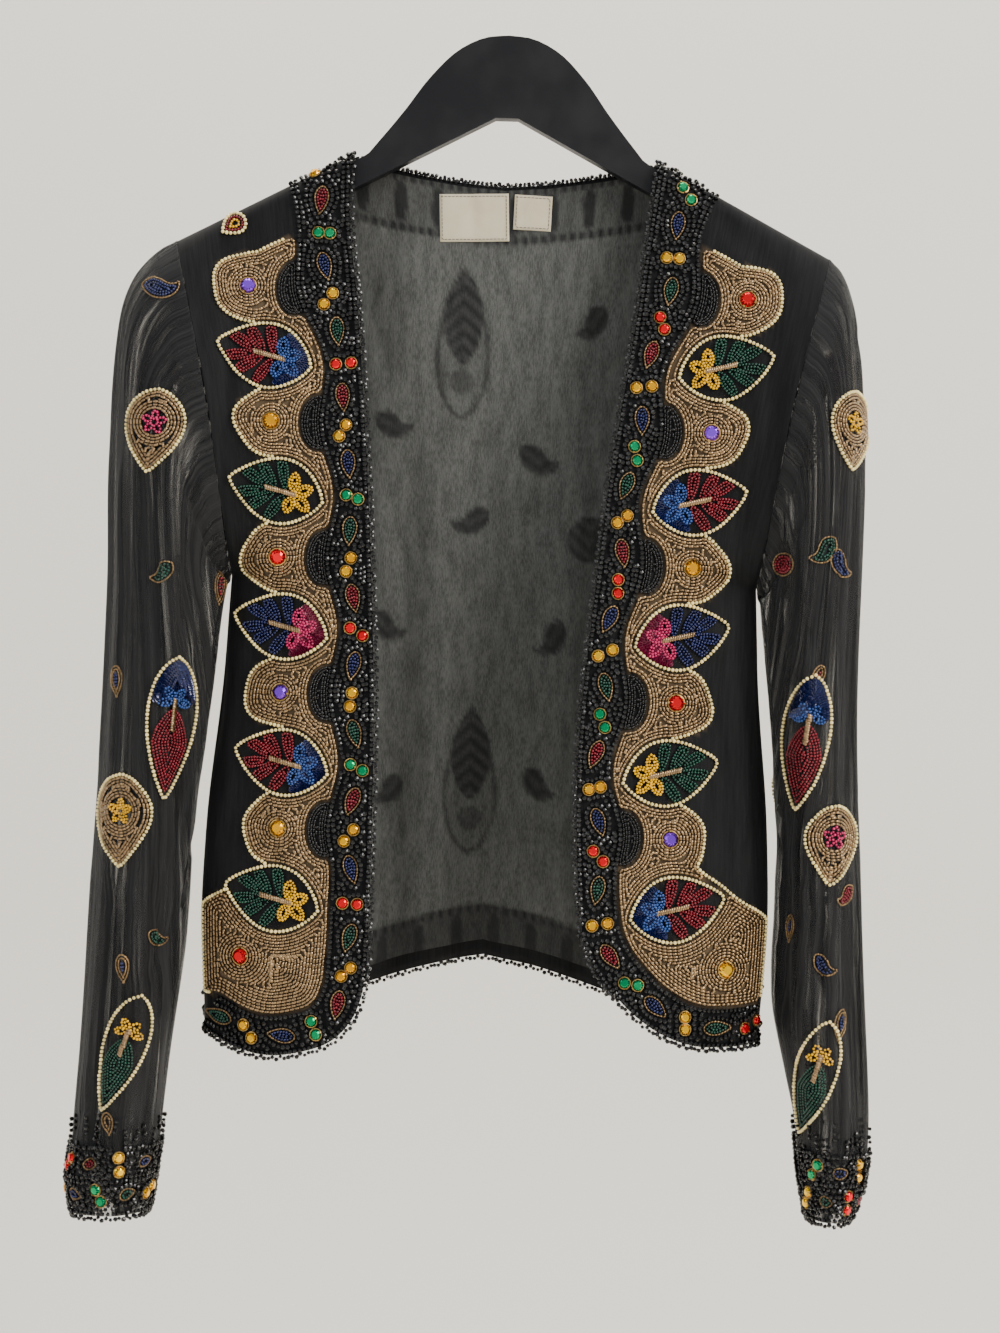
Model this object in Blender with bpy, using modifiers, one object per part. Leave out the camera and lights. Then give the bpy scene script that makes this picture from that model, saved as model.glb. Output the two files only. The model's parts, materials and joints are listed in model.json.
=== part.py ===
"""A beaded silk bolero jacket hanging on a plain flat hanger.

Metres, +Z up, the front of the jacket faces -Y. The origin is the seat in the
middle of the hanger's underside, where a post carries it. "right" and "left"
are the wearer's sides, so the right side lies at -X.
"""

import math

import bmesh
import bpy
import numpy as np
from mathutils import Vector
from mathutils.bvhtree import BVHTree

MM = 0.001

# Walls, seams and what lies on the cloth
BODY_WALL = 1.3 * MM
SLEEVE_WALL = 1.1 * MM
SEAM_GAP = 0.3 * MM
LINING_WALL = 1.0 * MM
BEAD_GAP = 0.35 * MM
BEAD_WALL = 1.8 * MM
LABEL_WALL = 0.8 * MM

# Shoulder line, shared by the cloth and the hanger
NECK_X = 97 * MM
NECK_Z = -25 * MM
SHOULDER_FALL = 0.53
SHOULDER_X = 205 * MM
UNDERARM = (165 * MM, -290 * MM)
ARMHOLE_DEPTH = 40 * MM
ARMHOLE_BOW = 5 * MM
RIDGE_FRONT = 10 * MM
RIDGE_BACK = 13 * MM

# Hanger
HANGER_THICK = 12 * MM
HANGER_TOP = 52 * MM
HANGER_TIP_X = 199 * MM
HANGER_UNDER_FALL = 0.52
HANGER_BELOW_CLOTH = 5.0 * MM
SEAT_WIDTH = 14 * MM

# Opening edge of each front, (height, distance from the middle), in mm
FRONT_EDGE = {
    "right": ((-25, 97), (-60, 97), (-121, 90), (-183, 84), (-244, 79), (-306, 75),
              (-367, 72), (-429, 71), (-480, 71), (-527, 71.5)),
    "left": ((-25, 97), (-79, 90), (-129, 84), (-178, 77), (-228, 70), (-277, 65),
             (-326, 60), (-376, 56), (-430, 55), (-474, 57), (-511, 61)),
}
# Hem of each front from the rounded corner to the side seam, (distance, height), in mm
FRONT_HEM = {
    "right": ((71.5, -527), (74, -549), (81, -566), (93, -578), (111, -585),
              (132, -588), (153, -584), (174, -574)),
    "left": ((61, -511), (69, -529), (82, -545), (97, -559), (113, -569),
             (131, -575), (152, -576), (174, -574)),
}
# Side seam below the underarm, (height, distance), in mm
SIDE_SEAM = ((-290, 165), (-350, 168), (-440, 176), (-490, 178), (-574, 174))
# Middle to side of the back's neckline and hem, (distance, height), in mm
BACK_NECK = ((0, -40), (30, -37.5), (60, -33), (82, -28.5), (97, -25))
BACK_HEM = ((0, -531), (36, -538), (76, -551), (125, -565), (174, -574))
# How far the cloth stands from the hanger's plane, (distance below the shoulder, depth), in mm
FRONT_DEPTH = ((0, 0), (60, 5), (140, 14), (260, 24), (380, 31), (560, 38))
BACK_DEPTH = ((0, 0), (60, 3), (140, 11), (260, 24), (380, 34), (560, 42))

# Sleeve sections: outer line x and z, inner line x and z, half depth, in mm
SLEEVE = {
    "right": ((205.5, -82, 165.8, -291, 40), (214, -88.5, 166.5, -296, 42),
              (223, -98, 167.2, -302, 44), (231, -111, 168.2, -309, 45.5),
              (236.5, -130, 169.5, -318, 46.5), (239, -160, 171, -330, 46.5),
              (240, -200, 172.5, -345, 46), (240, -245, 174.5, -364, 45),
              (239, -292, 177, -386, 44), (240, -338, 180.5, -411, 43),
              (241.5, -384, 184, -438, 42), (243, -428, 186, -467, 41),
              (245, -470, 187, -497, 40), (246.5, -510, 188.5, -527, 39),
              (248, -550, 192, -559, 37.5), (250, -590, 196, -593, 36),
              (252.5, -625, 199, -625, 34.5), (254.5, -650, 200.5, -648, 33),
              (257, -672, 203, -668, 32), (254, -693, 206, -691, 31)),
    "left": ((205.5, -82, 165.8, -291, 40), (212, -90, 166.5, -296, 42),
             (217.5, -101, 167.2, -302, 44), (221.5, -115, 168.2, -309, 45.5),
             (224, -135, 169.5, -318, 46.5), (226.5, -162, 171, -330, 46.5),
             (229, -200, 172.5, -345, 46), (229, -245, 174.5, -364, 45),
             (228.5, -292, 177, -386, 44), (228, -338, 179.5, -411, 43),
             (228.5, -384, 181.5, -438, 42), (230.5, -428, 183, -467, 41),
             (233, -470, 183, -497, 40), (235, -510, 182, -527, 39),
             (237.5, -550, 183.5, -556, 37.5), (240.5, -590, 191, -590, 36),
             (242.5, -622, 198, -620, 34), (243, -645, 201, -643, 32),
             (241, -666, 204, -664, 30), (235, -684, 208, -684, 28)),
}
CUFF_ROWS = 3
# Long soft folds down each sleeve: (waves round, depth in mm, turn at the top, turn at the cuff)
SLEEVE_FOLDS = {
    "right": ((4, 2.6, 0.3, 1.6), (7, 1.7, 1.1, -0.9)),
    "left": ((4, 2.4, 2.0, 0.7), (7, 1.8, 0.2, 2.2)),
}
BACK_FOLDS = ((5.0, 3.0, 0.4), (8.0, 1.8, 1.9))

# Beaded border, in mm
BAND_WIDTH = 24
BAND_WAVE = 4
BAND_TOP_EXTRA = 13
UNIT_PITCH = 84
FIRST_LOBE_Z = -112
UNIT_COUNT = 5
STRIP_WIDTH = 33
LOBE_REACH = 30
LOBE_RADIUS = 22
LEAF_LENGTH = 60
LEAF_WIDTH = 40
LEAF_ROOT = 8
LEAF_TILT = math.radians(14)
LEAF_RIM = 2.5
GOLD_TOP_Z = -80
GOLD_FOOT_Z = -548
CORNER_TOP_Z = -452
CORNER_SWEEP = 72
CORNER_REACH = 128
CORNER_GROWTH = 66
CORNER_STONE = (150, -528)
BACK_BAND = 33
NECK_BAND = 37
STONE_RADIUS = 5.0 * MM
STONE_HEIGHT = 2.8 * MM
STONE_TABLE = 0.58
STONE_LIFT = 0.6 * MM
STONE_SIDES = 12

# Bare labels on the lining: name, middle, width and height, in mm
LABELS = (("neck_label", -19, -57, 44, 30), ("care_label", 19, -53, 24, 22))

SIDES = {"right": -1, "left": 1}


def through(table, at):
    """Smooth values through a table's (key, value) rows, at the given keys."""
    rows = sorted(table)
    keys = np.array([row[0] for row in rows], float)
    values = np.array([row[1] for row in rows], float)
    slopes = np.gradient(values, keys)
    at = np.clip(np.asarray(at, float), keys[0], keys[-1])
    cell = np.clip(np.searchsorted(keys, at) - 1, 0, len(keys) - 2)
    width = keys[cell + 1] - keys[cell]
    t = (at - keys[cell]) / width
    return ((2 * t**3 - 3 * t**2 + 1) * values[cell]
            + (t**3 - 2 * t**2 + t) * width * slopes[cell]
            + (3 * t**2 - 2 * t**3) * values[cell + 1]
            + (t**3 - t**2) * width * slopes[cell + 1])


def smooth_line(points, count):
    """A smooth line through the points, as count points at even spacing."""
    points = np.array(points, float)
    steps = np.r_[0, np.cumsum(np.linalg.norm(np.diff(points, axis=0), axis=1))]
    fine = np.linspace(0, steps[-1], 400)
    line = np.stack([through(list(zip(steps, points[:, k])), fine) for k in range(points.shape[1])], 1)
    run = np.r_[0, np.cumsum(np.linalg.norm(np.diff(line, axis=0), axis=1))]
    even = np.linspace(0, run[-1], count)
    return np.stack([np.interp(even, run, line[:, k]) for k in range(points.shape[1])], 1)


def ease(t):
    t = np.clip(t, 0, 1)
    return t * t * (3 - 2 * t)


def shoulder_height(x):
    return NECK_Z - SHOULDER_FALL * (np.abs(x) - NECK_X)


def ridge(drop, radius):
    """Depth of the cloth as it rounds over the hanger's arm."""
    t = np.clip(drop / radius, 0, 1)
    return radius * np.sqrt(np.maximum(0, 1 - (1 - t) ** 2))


def side_line(share):
    """The edge where a panel meets the sleeve, then the side seam: x, z and depth."""
    share = np.asarray(share, float)
    top, bottom = float(shoulder_height(SHOULDER_X)), SIDE_SEAM[-1][0] * MM
    z = top + (bottom - top) * share
    t = np.clip((top - z) / (top - UNDERARM[1]), 0, 1)
    armhole_x = SHOULDER_X + (UNDERARM[0] - SHOULDER_X) * t - ARMHOLE_BOW * np.sin(math.pi * t)
    seam_x = through(SIDE_SEAM, z / MM) * MM
    depth = ARMHOLE_DEPTH * np.sqrt(np.maximum(0, 1 - (2 * t - 1) ** 2))
    inside = z > UNDERARM[1]
    return np.where(inside, armhole_x, seam_x), z, np.where(inside, depth, 0)


def underarm_share():
    top, bottom = float(shoulder_height(SHOULDER_X)), SIDE_SEAM[-1][0] * MM
    return (top - UNDERARM[1]) / (top - bottom)


def row_shares(above, below):
    """Shares down a panel: close together over the ridge, then even down to the hem."""
    split = underarm_share()
    upper = split * np.r_[0, 0.012, 0.045, np.linspace(0.12, 1, above - 2)]
    lower = np.linspace(split, 1, below + 1)[1:]
    return np.r_[upper, lower]


def quarter_steps(count):
    """Shares from 0 to 1 that come closer together toward the side."""
    return np.sin(np.linspace(0, math.pi / 2, count + 1))


def panel(edge, top, hem, shares, across, depth_table, radius, facing):
    """A panel between its middle edge and its side, as rows of points.

    edge, top and hem are functions of a share from 0 to 1 that return x and z.
    """
    g, v = np.meshgrid(across, shares)
    side_x, side_z, side_depth = side_line(v)
    edge_x, edge_z = edge(v)
    top_x, top_z = top(g)
    hem_x, hem_z = hem(g)

    def coons(edge_at, side_at, top_at, hem_at):
        corners = ((1 - g) * (1 - v) * edge_at[0, 0] + g * (1 - v) * side_at[0, -1]
                   + (1 - g) * v * edge_at[-1, 0] + g * v * side_at[-1, -1])
        return (1 - v) * top_at + v * hem_at + (1 - g) * edge_at + g * side_at - corners

    x = coons(edge_x, side_x, top_x, hem_x)
    z = coons(edge_z, side_z, top_z, hem_z)
    drop = np.maximum(0, shoulder_height(x) - z)
    drop[0] = np.where(np.abs(top_x[0]) >= NECK_X - 1e-9, 0, drop[0])
    middle = ridge(drop, radius) + through(depth_table, drop / MM) * MM
    below = ease((v / underarm_share() - 0.55) / 0.45)
    round_side = 1 - (1 - g**2.6) ** (1 / 2.6)
    blend = (1 - below) * g**2 + below * round_side
    y = facing * ((1 - blend) * middle + blend * side_depth)
    y = np.where(np.abs(y) < SEAM_GAP / 2, facing * SEAM_GAP / 2, y)
    return np.stack([x, y, z], -1)


def front_grid(side, above=9, below=9, columns=10):
    """Outer points of one front, from its opening edge to the side seam."""
    edge_table = FRONT_EDGE[side]
    hem_line = smooth_line(FRONT_HEM[side], 200) * MM
    start, end = edge_table[0][0], edge_table[-1][0]

    def edge(v):
        z = start + (end - start) * v
        return through(edge_table, z) * MM, z * MM

    def top(g):
        x = NECK_X + (SHOULDER_X - NECK_X) * g
        return x, shoulder_height(x)

    def hem(g):
        place = g * (len(hem_line) - 1)
        spots = np.arange(len(hem_line))
        return np.interp(place, spots, hem_line[:, 0]), np.interp(place, spots, hem_line[:, 1])

    points = panel(edge, top, hem, row_shares(above, below), quarter_steps(columns), FRONT_DEPTH,
                   RIDGE_FRONT, -1)
    points[..., 0] *= SIDES[side]
    return points if side == "left" else points[:, ::-1]


def half_back(above, below, neck_columns, shoulder_columns):
    neck_share = NECK_X / SHOULDER_X
    neck = neck_share * np.r_[np.linspace(0, 0.8, neck_columns), 0.93]
    across = np.r_[neck, neck_share + (1 - neck_share) * quarter_steps(shoulder_columns)]

    def edge(v):
        z = BACK_NECK[0][1] + (BACK_HEM[0][1] - BACK_NECK[0][1]) * v
        return np.zeros_like(v), z * MM

    def top(g):
        x = SHOULDER_X * g
        neck = through(BACK_NECK, np.minimum(x, NECK_X) / MM) * MM
        return x, np.where(g < neck_share - 1e-9, neck, shoulder_height(x))

    def hem(g):
        x = BACK_HEM[-1][0] * g
        return x * MM, through(BACK_HEM, x) * MM

    return panel(edge, top, hem, row_shares(above, below), across, BACK_DEPTH, RIDGE_BACK, 1)


def back_grid(above=9, below=9, neck_columns=4, shoulder_columns=6):
    """Outer points of the whole back, from one side seam to the other, with its soft folds."""
    half = half_back(above, below, neck_columns, shoulder_columns)
    mirrored = half[:, :0:-1] * np.array([-1, 1, 1])
    points = np.concatenate([mirrored, half], 1)
    share = row_shares(above, below)[:, None]
    fold_room = ease((share - 0.15) / 0.5) * (1 - np.abs(points[..., 0] / points[:, -1:, 0]) ** 4)
    for waves, depth, turn in BACK_FOLDS:
        points[..., 1] += fold_room * depth * MM * np.cos(waves * points[..., 0] / 0.0565 + turn)
    return points[:, ::-1]


def sleeve_grid(side, around=24):
    """Outer points of one sleeve: rings from the armhole to the end of the cuff."""
    table = np.array(SLEEVE[side]) * MM
    rings = len(table)
    outer, inner = table[:, 0:2], table[:, 2:4]
    middle, reach = (outer + inner) / 2, (outer - inner) / 2
    angle = np.linspace(0, 2 * math.pi, around, endpoint=False)
    share = np.linspace(0, 1, rings)[:, None]
    fold_room = ease(share / 0.45) * (1 - 0.6 * ease((share - 0.8) / 0.2))
    swell = 1 + np.zeros((rings, around))
    for waves, depth, first, last in SLEEVE_FOLDS[side]:
        phase = first + (last - first) * share
        away = 0.6 + 0.4 * np.cos(angle)[None, :]
        swell += fold_room * away * depth * MM / (34 * MM) * np.cos(waves * angle[None, :] + phase)
    across, along = np.cos(angle)[None, :] * swell, np.sin(angle)[None, :] * swell
    bow = ARMHOLE_BOW * (1 - ease(share / 0.1)) * np.sin(angle)[None, :] ** 2
    x = middle[:, 0:1] + reach[:, 0:1] * across - bow
    z = middle[:, 1:2] + reach[:, 1:2] * across
    y = table[:, 4:5] * along
    points = np.stack([SIDES[side] * x, y, z], -1)
    return points if side == "left" else points[:, ::-1]


def unit(vectors):
    return vectors / np.maximum(np.linalg.norm(vectors, axis=-1, keepdims=True), 1e-12)


def normals_of(points, closed=False):
    """Unit normals of a grid whose rows run down and whose columns run to the right, seen from outside.

    Along a seam they lie in the seam's own plane, so that walls which meet there don't cross.
    """
    if closed:
        across = np.roll(points, -1, 1) - np.roll(points, 1, 1)
    else:
        across = np.gradient(points, axis=1)
    normal = unit(np.cross(np.gradient(points, axis=0), across))
    if closed:
        normal[0] = in_armhole_plane(normal[0], np.sign(points[0, 0, 0]))
        return normal
    armhole_rows = points[:, -1, 2] > UNDERARM[1] - 1e-6
    for column in (0, -1):
        if abs(points[0, column, 0]) > SHOULDER_X - MM:
            side = np.sign(points[0, column, 0])
            flat = in_armhole_plane(normal[armhole_rows, column], side)
            normal[armhole_rows, column] = flat
    seam = np.abs(points[..., 1]) < SEAM_GAP
    normal[seam, 1] = 0
    return unit(normal)


def in_armhole_plane(vectors, side):
    along = np.array([SHOULDER_X - UNDERARM[0], 0, float(shoulder_height(SHOULDER_X)) - UNDERARM[1]])
    along = unit(along)
    through_plane = np.array([side * along[2], 0, -along[0]])
    return unit(vectors - (vectors @ through_plane)[:, None] * through_plane)


def moved_out(points, distance, closed=False):
    return points + normals_of(points, closed) * distance


def material(name, colour, roughness, metallic=0.0):
    made = bpy.data.materials.new(name)
    made.use_nodes = True
    shader = made.node_tree.nodes["Principled BSDF"]
    shader.inputs["Base Color"].default_value = (*colour, 1)
    shader.inputs["Roughness"].default_value = roughness
    shader.inputs["Metallic"].default_value = metallic
    made.diffuse_color = (*colour, 1)
    return made


def collection(name):
    made = bpy.data.collections.new(name)
    bpy.context.scene.collection.children.link(made)
    return made


def add_object(name, mesh, look, group):
    made = bpy.data.objects.new(name, mesh)
    group.objects.link(made)
    if look is not None:
        mesh.materials.append(look)
    return made


def grid_mesh(name, points, closed=False):
    """A loft between rows of points, cut into triangles the same way everywhere."""
    rows, columns = points.shape[:2]
    faces = []
    for i in range(rows - 1):
        for j in range(columns if closed else columns - 1):
            k = (j + 1) % columns
            a, b = i * columns + j, i * columns + k
            c, d = a + columns, b + columns
            faces += [(a, d, b), (a, c, d)]
    mesh = bpy.data.meshes.new(name)
    mesh.from_pydata(points.reshape(-1, 3).tolist(), [], faces)
    mesh.shade_smooth()
    return mesh


def walled_mesh(name, outer, inner, closed=False):
    """A wall between two grids of points: both faces, and a rim along every open edge."""
    rows, columns = outer.shape[:2]
    size = rows * columns
    faces = []
    steps = range(columns if closed else columns - 1)
    for i in range(rows - 1):
        for j in steps:
            a, b = i * columns + j, i * columns + (j + 1) % columns
            c, d = a + columns, b + columns
            faces += [(a, d, b), (a, c, d), (size + a, size + b, size + d), (size + a, size + d, size + c)]
    for j in steps:
        a, b = j, (j + 1) % columns
        faces += [(a, b, size + b), (a, size + b, size + a)]
        a, b = size - columns + j, size - columns + (j + 1) % columns
        faces += [(b, a, size + a), (b, size + a, size + b)]
    if not closed:
        for i in range(rows - 1):
            a, b = i * columns, (i + 1) * columns
            faces += [(b, a, size + a), (b, size + a, size + b)]
            a, b = a + columns - 1, b + columns - 1
            faces += [(a, b, size + b), (a, size + b, size + a)]
    mesh = bpy.data.meshes.new(name)
    mesh.from_pydata(np.vstack([outer.reshape(-1, 3), inner.reshape(-1, 3)]).tolist(), [], faces)
    mesh.shade_smooth()
    return mesh


def wall(name, points, low, high, look, parts, closed=False, rows=slice(None), columns=slice(None)):
    """A wall from low to high off the cloth's outer points, over all or some of its rows."""
    outer = moved_out(points, high, closed)[rows, columns]
    inner = moved_out(points, low, closed)[rows, columns]
    return add_object(name, walled_mesh(name, outer, inner, closed), look, parts)


def prism(name, outline, group, y_low=-0.2, y_high=0.2):
    """A cutter: an outline in front view, run through the cloth from front to back."""
    curve = bpy.data.curves.new(name, "CURVE")
    curve.dimensions = "2D"
    curve.fill_mode = "BOTH"
    curve.extrude = (y_high - y_low) / 2
    spline = curve.splines.new("POLY")
    spline.points.add(len(outline) - 1)
    for point, (x, z) in zip(spline.points, outline):
        point.co = (x, z, 0, 1)
    spline.use_cyclic_u = True
    guide = bpy.data.objects.new(name + "_curve", curve)
    group.objects.link(guide)
    guide.rotation_euler = (math.pi / 2, 0, 0)
    guide.location = (0, (y_low + y_high) / 2, 0)
    bpy.context.view_layer.update()
    depsgraph = bpy.context.evaluated_depsgraph_get()
    mesh = bpy.data.meshes.new_from_object(guide.evaluated_get(depsgraph))
    mesh.transform(guide.matrix_world)
    bpy.data.objects.remove(guide)
    shape = bmesh.new()
    shape.from_mesh(mesh)
    bmesh.ops.remove_doubles(shape, verts=shape.verts, dist=1e-6)
    bmesh.ops.recalc_face_normals(shape, faces=shape.faces)
    shape.to_mesh(mesh)
    shape.free()
    cutter = bpy.data.objects.new(name, mesh)
    group.objects.link(cutter)
    cutter.hide_render = True
    cutter.display_type = "WIRE"
    return cutter


def beaded_plate(name, points, outline, look, parts, cutters, closed=False, y_range=(-0.2, 0.2)):
    """Beadwork lying on the cloth: the cloth's own points moved out, trimmed to an outline."""
    made = wall(name, points, BEAD_GAP, BEAD_GAP + BEAD_WALL, look, parts, closed)
    trim = made.modifiers.new("outline", "BOOLEAN")
    trim.operation = "INTERSECT"
    trim.object = prism(name + "_outline", outline, cutters, *y_range)
    return made


def border_edge(side):
    """The opening edge and hem of a front as one line of (distance, height) in mm."""
    edge = [(x, z) for z, x in FRONT_EDGE[side]]
    return smooth_line(edge + list(FRONT_HEM[side][1:]), 72)


def inset(line, width):
    """The line moved towards the cloth's inside by a width, given for each of its points."""
    step = np.gradient(line, axis=0)
    step /= np.linalg.norm(step, axis=1, keepdims=True)
    inward = np.stack([-step[:, 1], step[:, 0]], 1)
    return line + inward * np.reshape(width, (-1, 1))


def band_inner(side):
    """Where the black beaded band meets the gold border, in mm."""
    line = border_edge(side)
    wave = np.cos(2 * math.pi * (line[:, 1] - FIRST_LOBE_Z) / UNIT_PITCH)
    straight = 1 - ease((-line[:, 1] - 440) / 60)
    at_top = 1 - ease((-line[:, 1] - 60) / 130)
    return inset(line, BAND_WIDTH + BAND_WAVE * wave * straight + BAND_TOP_EXTRA * at_top)


def unit_places(side):
    """Lobe and leaf centres of the gold border, each where its root meets the band."""
    inner = band_inner(side)
    above_corner = inner[: int(np.argmin(inner[:, 1]))]
    heights = FIRST_LOBE_Z - UNIT_PITCH / 2 * np.arange(2 * UNIT_COUNT)
    order = np.argsort(above_corner[:, 1])
    roots = np.interp(heights, above_corner[order, 1], above_corner[order, 0])
    spots = list(zip(roots, heights))
    return spots[0::2], spots[1::2]


def leaf_outline(root, count=12, grow=0.0):
    """A pointed leaf growing up and out from its root, in mm."""
    t = np.linspace(0, 1, count)
    half = (LEAF_WIDTH / 2 + grow) * np.sin(math.pi * t) ** 0.75 * (1.18 - 0.36 * t)
    along = -grow + (LEAF_LENGTH + 2 * grow) * t
    rim = np.concatenate([np.stack([along, half], 1), np.stack([along, -half], 1)[-2:0:-1]])
    turn = np.array([[math.cos(LEAF_TILT), math.sin(LEAF_TILT)],
                     [-math.sin(LEAF_TILT), math.cos(LEAF_TILT)]])
    return rim @ turn + np.array([root[0] + LEAF_ROOT, root[1] - 8])


def reach_of(outline, heights):
    """How far out an outline reaches at each height, or -1 where it has nothing."""
    reach = np.full(len(heights), -1.0)
    closed = np.vstack([outline, outline[:1]])
    for (x0, z0), (x1, z1) in zip(closed[:-1], closed[1:]):
        if abs(z1 - z0) < 1e-9:
            continue
        t = (heights - z0) / (z1 - z0)
        hit = (t >= 0) & (t <= 1)
        reach = np.where(hit, np.maximum(reach, x0 + (x1 - x0) * t), reach)
    return reach


def gold_outline(side):
    """The gold border: a strip with round lobes and pointed leaves, in mm."""
    inner = band_inner(side)
    lobes, leaves = unit_places(side)
    heights = np.arange(GOLD_TOP_Z, GOLD_FOOT_Z, -4.5)
    above_corner = inner[: int(np.argmin(inner[:, 1]))]
    order = np.argsort(above_corner[:, 1])
    root = np.interp(heights, above_corner[order, 1], above_corner[order, 0])
    reach = root + STRIP_WIDTH * ease((-74 - heights) / 22)
    for x, z in lobes:
        half = LOBE_RADIUS**2 - (heights - z) ** 2
        reach = np.maximum(reach, np.where(half > 0, x + LOBE_REACH + np.sqrt(np.maximum(half, 0)), 0))
    for spot in leaves:
        reach = np.maximum(reach, reach_of(leaf_outline(spot, grow=LEAF_RIM), heights))
    corner = CORNER_REACH + CORNER_GROWTH * ease((CORNER_TOP_Z - heights) / CORNER_SWEEP)
    reach = np.where(heights < CORNER_TOP_Z, np.maximum(reach, corner), reach)
    keep = inner[inner[:, 1] < GOLD_TOP_Z]
    inner_side = inset(keep, 0.5)
    outer_side = np.stack([reach, heights], 1)
    return np.vstack([inner_side, [(200, inner_side[-1][1])], outer_side[::-1]])


def band_outline(side):
    """The black band's prism: from its inner line out past the opening edge and the hem."""
    inner = band_inner(side)
    far = [(205, inner[-1][1]), (205, -620), (20, -620), (20, -10), (inner[0][0], -10)]
    return np.vstack([inner, far])


def in_metres(outline, side):
    return np.asarray(outline) * MM * np.array([SIDES[side], 1])


def hanger(look, parts):
    """A plain flat hanger: a domed head, two sloping arms and a small flat seat underneath."""
    head = ((0, HANGER_TOP), (0.014, 0.0505), (0.030, 0.043), (0.048, 0.0255), (0.0645, 0.0030),
            (0.080, -0.0165), (0.0885, -0.0262), (NECK_X, NECK_Z - HANGER_BELOW_CLOTH))
    arm_top = float(shoulder_height(HANGER_TIP_X)) - HANGER_BELOW_CLOTH
    arm_under = -HANGER_UNDER_FALL * HANGER_TIP_X + 0.5 * SEAT_WIDTH * HANGER_UNDER_FALL
    tip = (arm_top + arm_under) / 2
    tip_radius = (arm_top - arm_under) / 2
    top_line = smooth_line(head, 22)
    bend = np.linspace(math.pi / 2, -math.pi / 2, 9)
    tip_line = np.stack([HANGER_TIP_X - tip_radius + tip_radius * np.cos(bend),
                         tip + 2 * MM + tip_radius * np.sin(bend)], 1)
    half = np.vstack([top_line, tip_line, [(SEAT_WIDTH / 2, 0)]])
    outline = np.vstack([half, (half * np.array([-1, 1]))[:0:-1]])
    blank = prism("hanger_blank", outline, parts, -HANGER_THICK / 2, HANGER_THICK / 2)
    blank.name = "hanger"
    blank.hide_render = False
    blank.display_type = "TEXTURED"
    blank.data.materials.append(look)
    blank.data.shade_smooth()
    blank.data.set_sharp_from_angle(angle=math.radians(40))
    edges = blank.modifiers.new("rounded_edges", "BEVEL")
    edges.width = 2.6 * MM
    edges.segments = 2
    edges.limit_method = "ANGLE"
    edges.angle_limit = math.radians(60)
    return blank


def surface_tree(points, closed=False):
    mesh = grid_mesh("probe", points, closed)
    tree = BVHTree.FromPolygons([v.co for v in mesh.vertices], [p.vertices for p in mesh.polygons])
    bpy.data.meshes.remove(mesh)
    return tree


def spot_on(tree, x, z, toward=1.0):
    """The first point of a surface met from the front, or with toward -1 from behind."""
    hit, normal, _, _ = tree.ray_cast(Vector((x, -0.3 * toward, z)), Vector((0, toward, 0)))
    if normal.y * toward > 0:
        normal = -normal
    return hit, normal


def stone(name, spot, normal, look, parts):
    """A round cut stone: a low faceted crown with a flat base."""
    shape = bmesh.new()
    bmesh.ops.create_cone(shape, cap_ends=True, segments=STONE_SIDES, radius1=STONE_RADIUS,
                          radius2=STONE_RADIUS * STONE_TABLE, depth=STONE_HEIGHT)
    mesh = bpy.data.meshes.new(name)
    shape.to_mesh(mesh)
    shape.free()
    made = add_object(name, mesh, look, parts)
    made.rotation_mode = "QUATERNION"
    made.rotation_quaternion = normal.to_track_quat("Z", "Y")
    made.location = spot + normal * (STONE_HEIGHT / 2 + STONE_LIFT)
    return made


def petal_outline(centre, length, width, lean=0.0, point_down=True, count=10):
    """A drop with a round head and a pointed foot, in mm."""
    t = np.linspace(0, 1, count)
    half = width / 2 * np.sin(math.pi * t**0.75) ** 0.8
    along = (0.5 - t) * length * (1 if point_down else -1)
    rim = np.concatenate([np.stack([half, along], 1), np.stack([-half, along], 1)[-2:0:-1]])
    c, s = math.cos(lean), math.sin(lean)
    return rim @ np.array([[c, s], [-s, c]]) + np.array(centre)


# Raised pieces on each sleeve: name, distance and height of the middle, length, width, lean, in mm and radians
SLEEVE_PIECES = {
    "right": (("upper_medallion", 212, -205, 54, 40, -0.12, "gold"),
              ("long_petal", 197, -388, 88, 29, -0.08, "petal"),
              ("lower_medallion", 227, -446, 68, 27, 0.0, "gold"),
              ("wrist_petal", 222, -588, 78, 35, -0.30, "petal")),
    "left": (("upper_medallion", 222, -196, 56, 38, 0.08, "gold"),
             ("long_petal", 195, -386, 84, 27, 0.10, "petal"),
             ("lower_medallion", 216, -452, 54, 26, 0.06, "gold"),
             ("wrist_petal", 207, -594, 76, 34, 0.22, "petal")),
}
# Large petals on the back: name, offset and height of the middle, length, width, in mm
BACK_PIECES = (("back_upper_petal", -24, -139, 98, 40), ("back_lower_petal", -12, -418, 98, 40))


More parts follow.
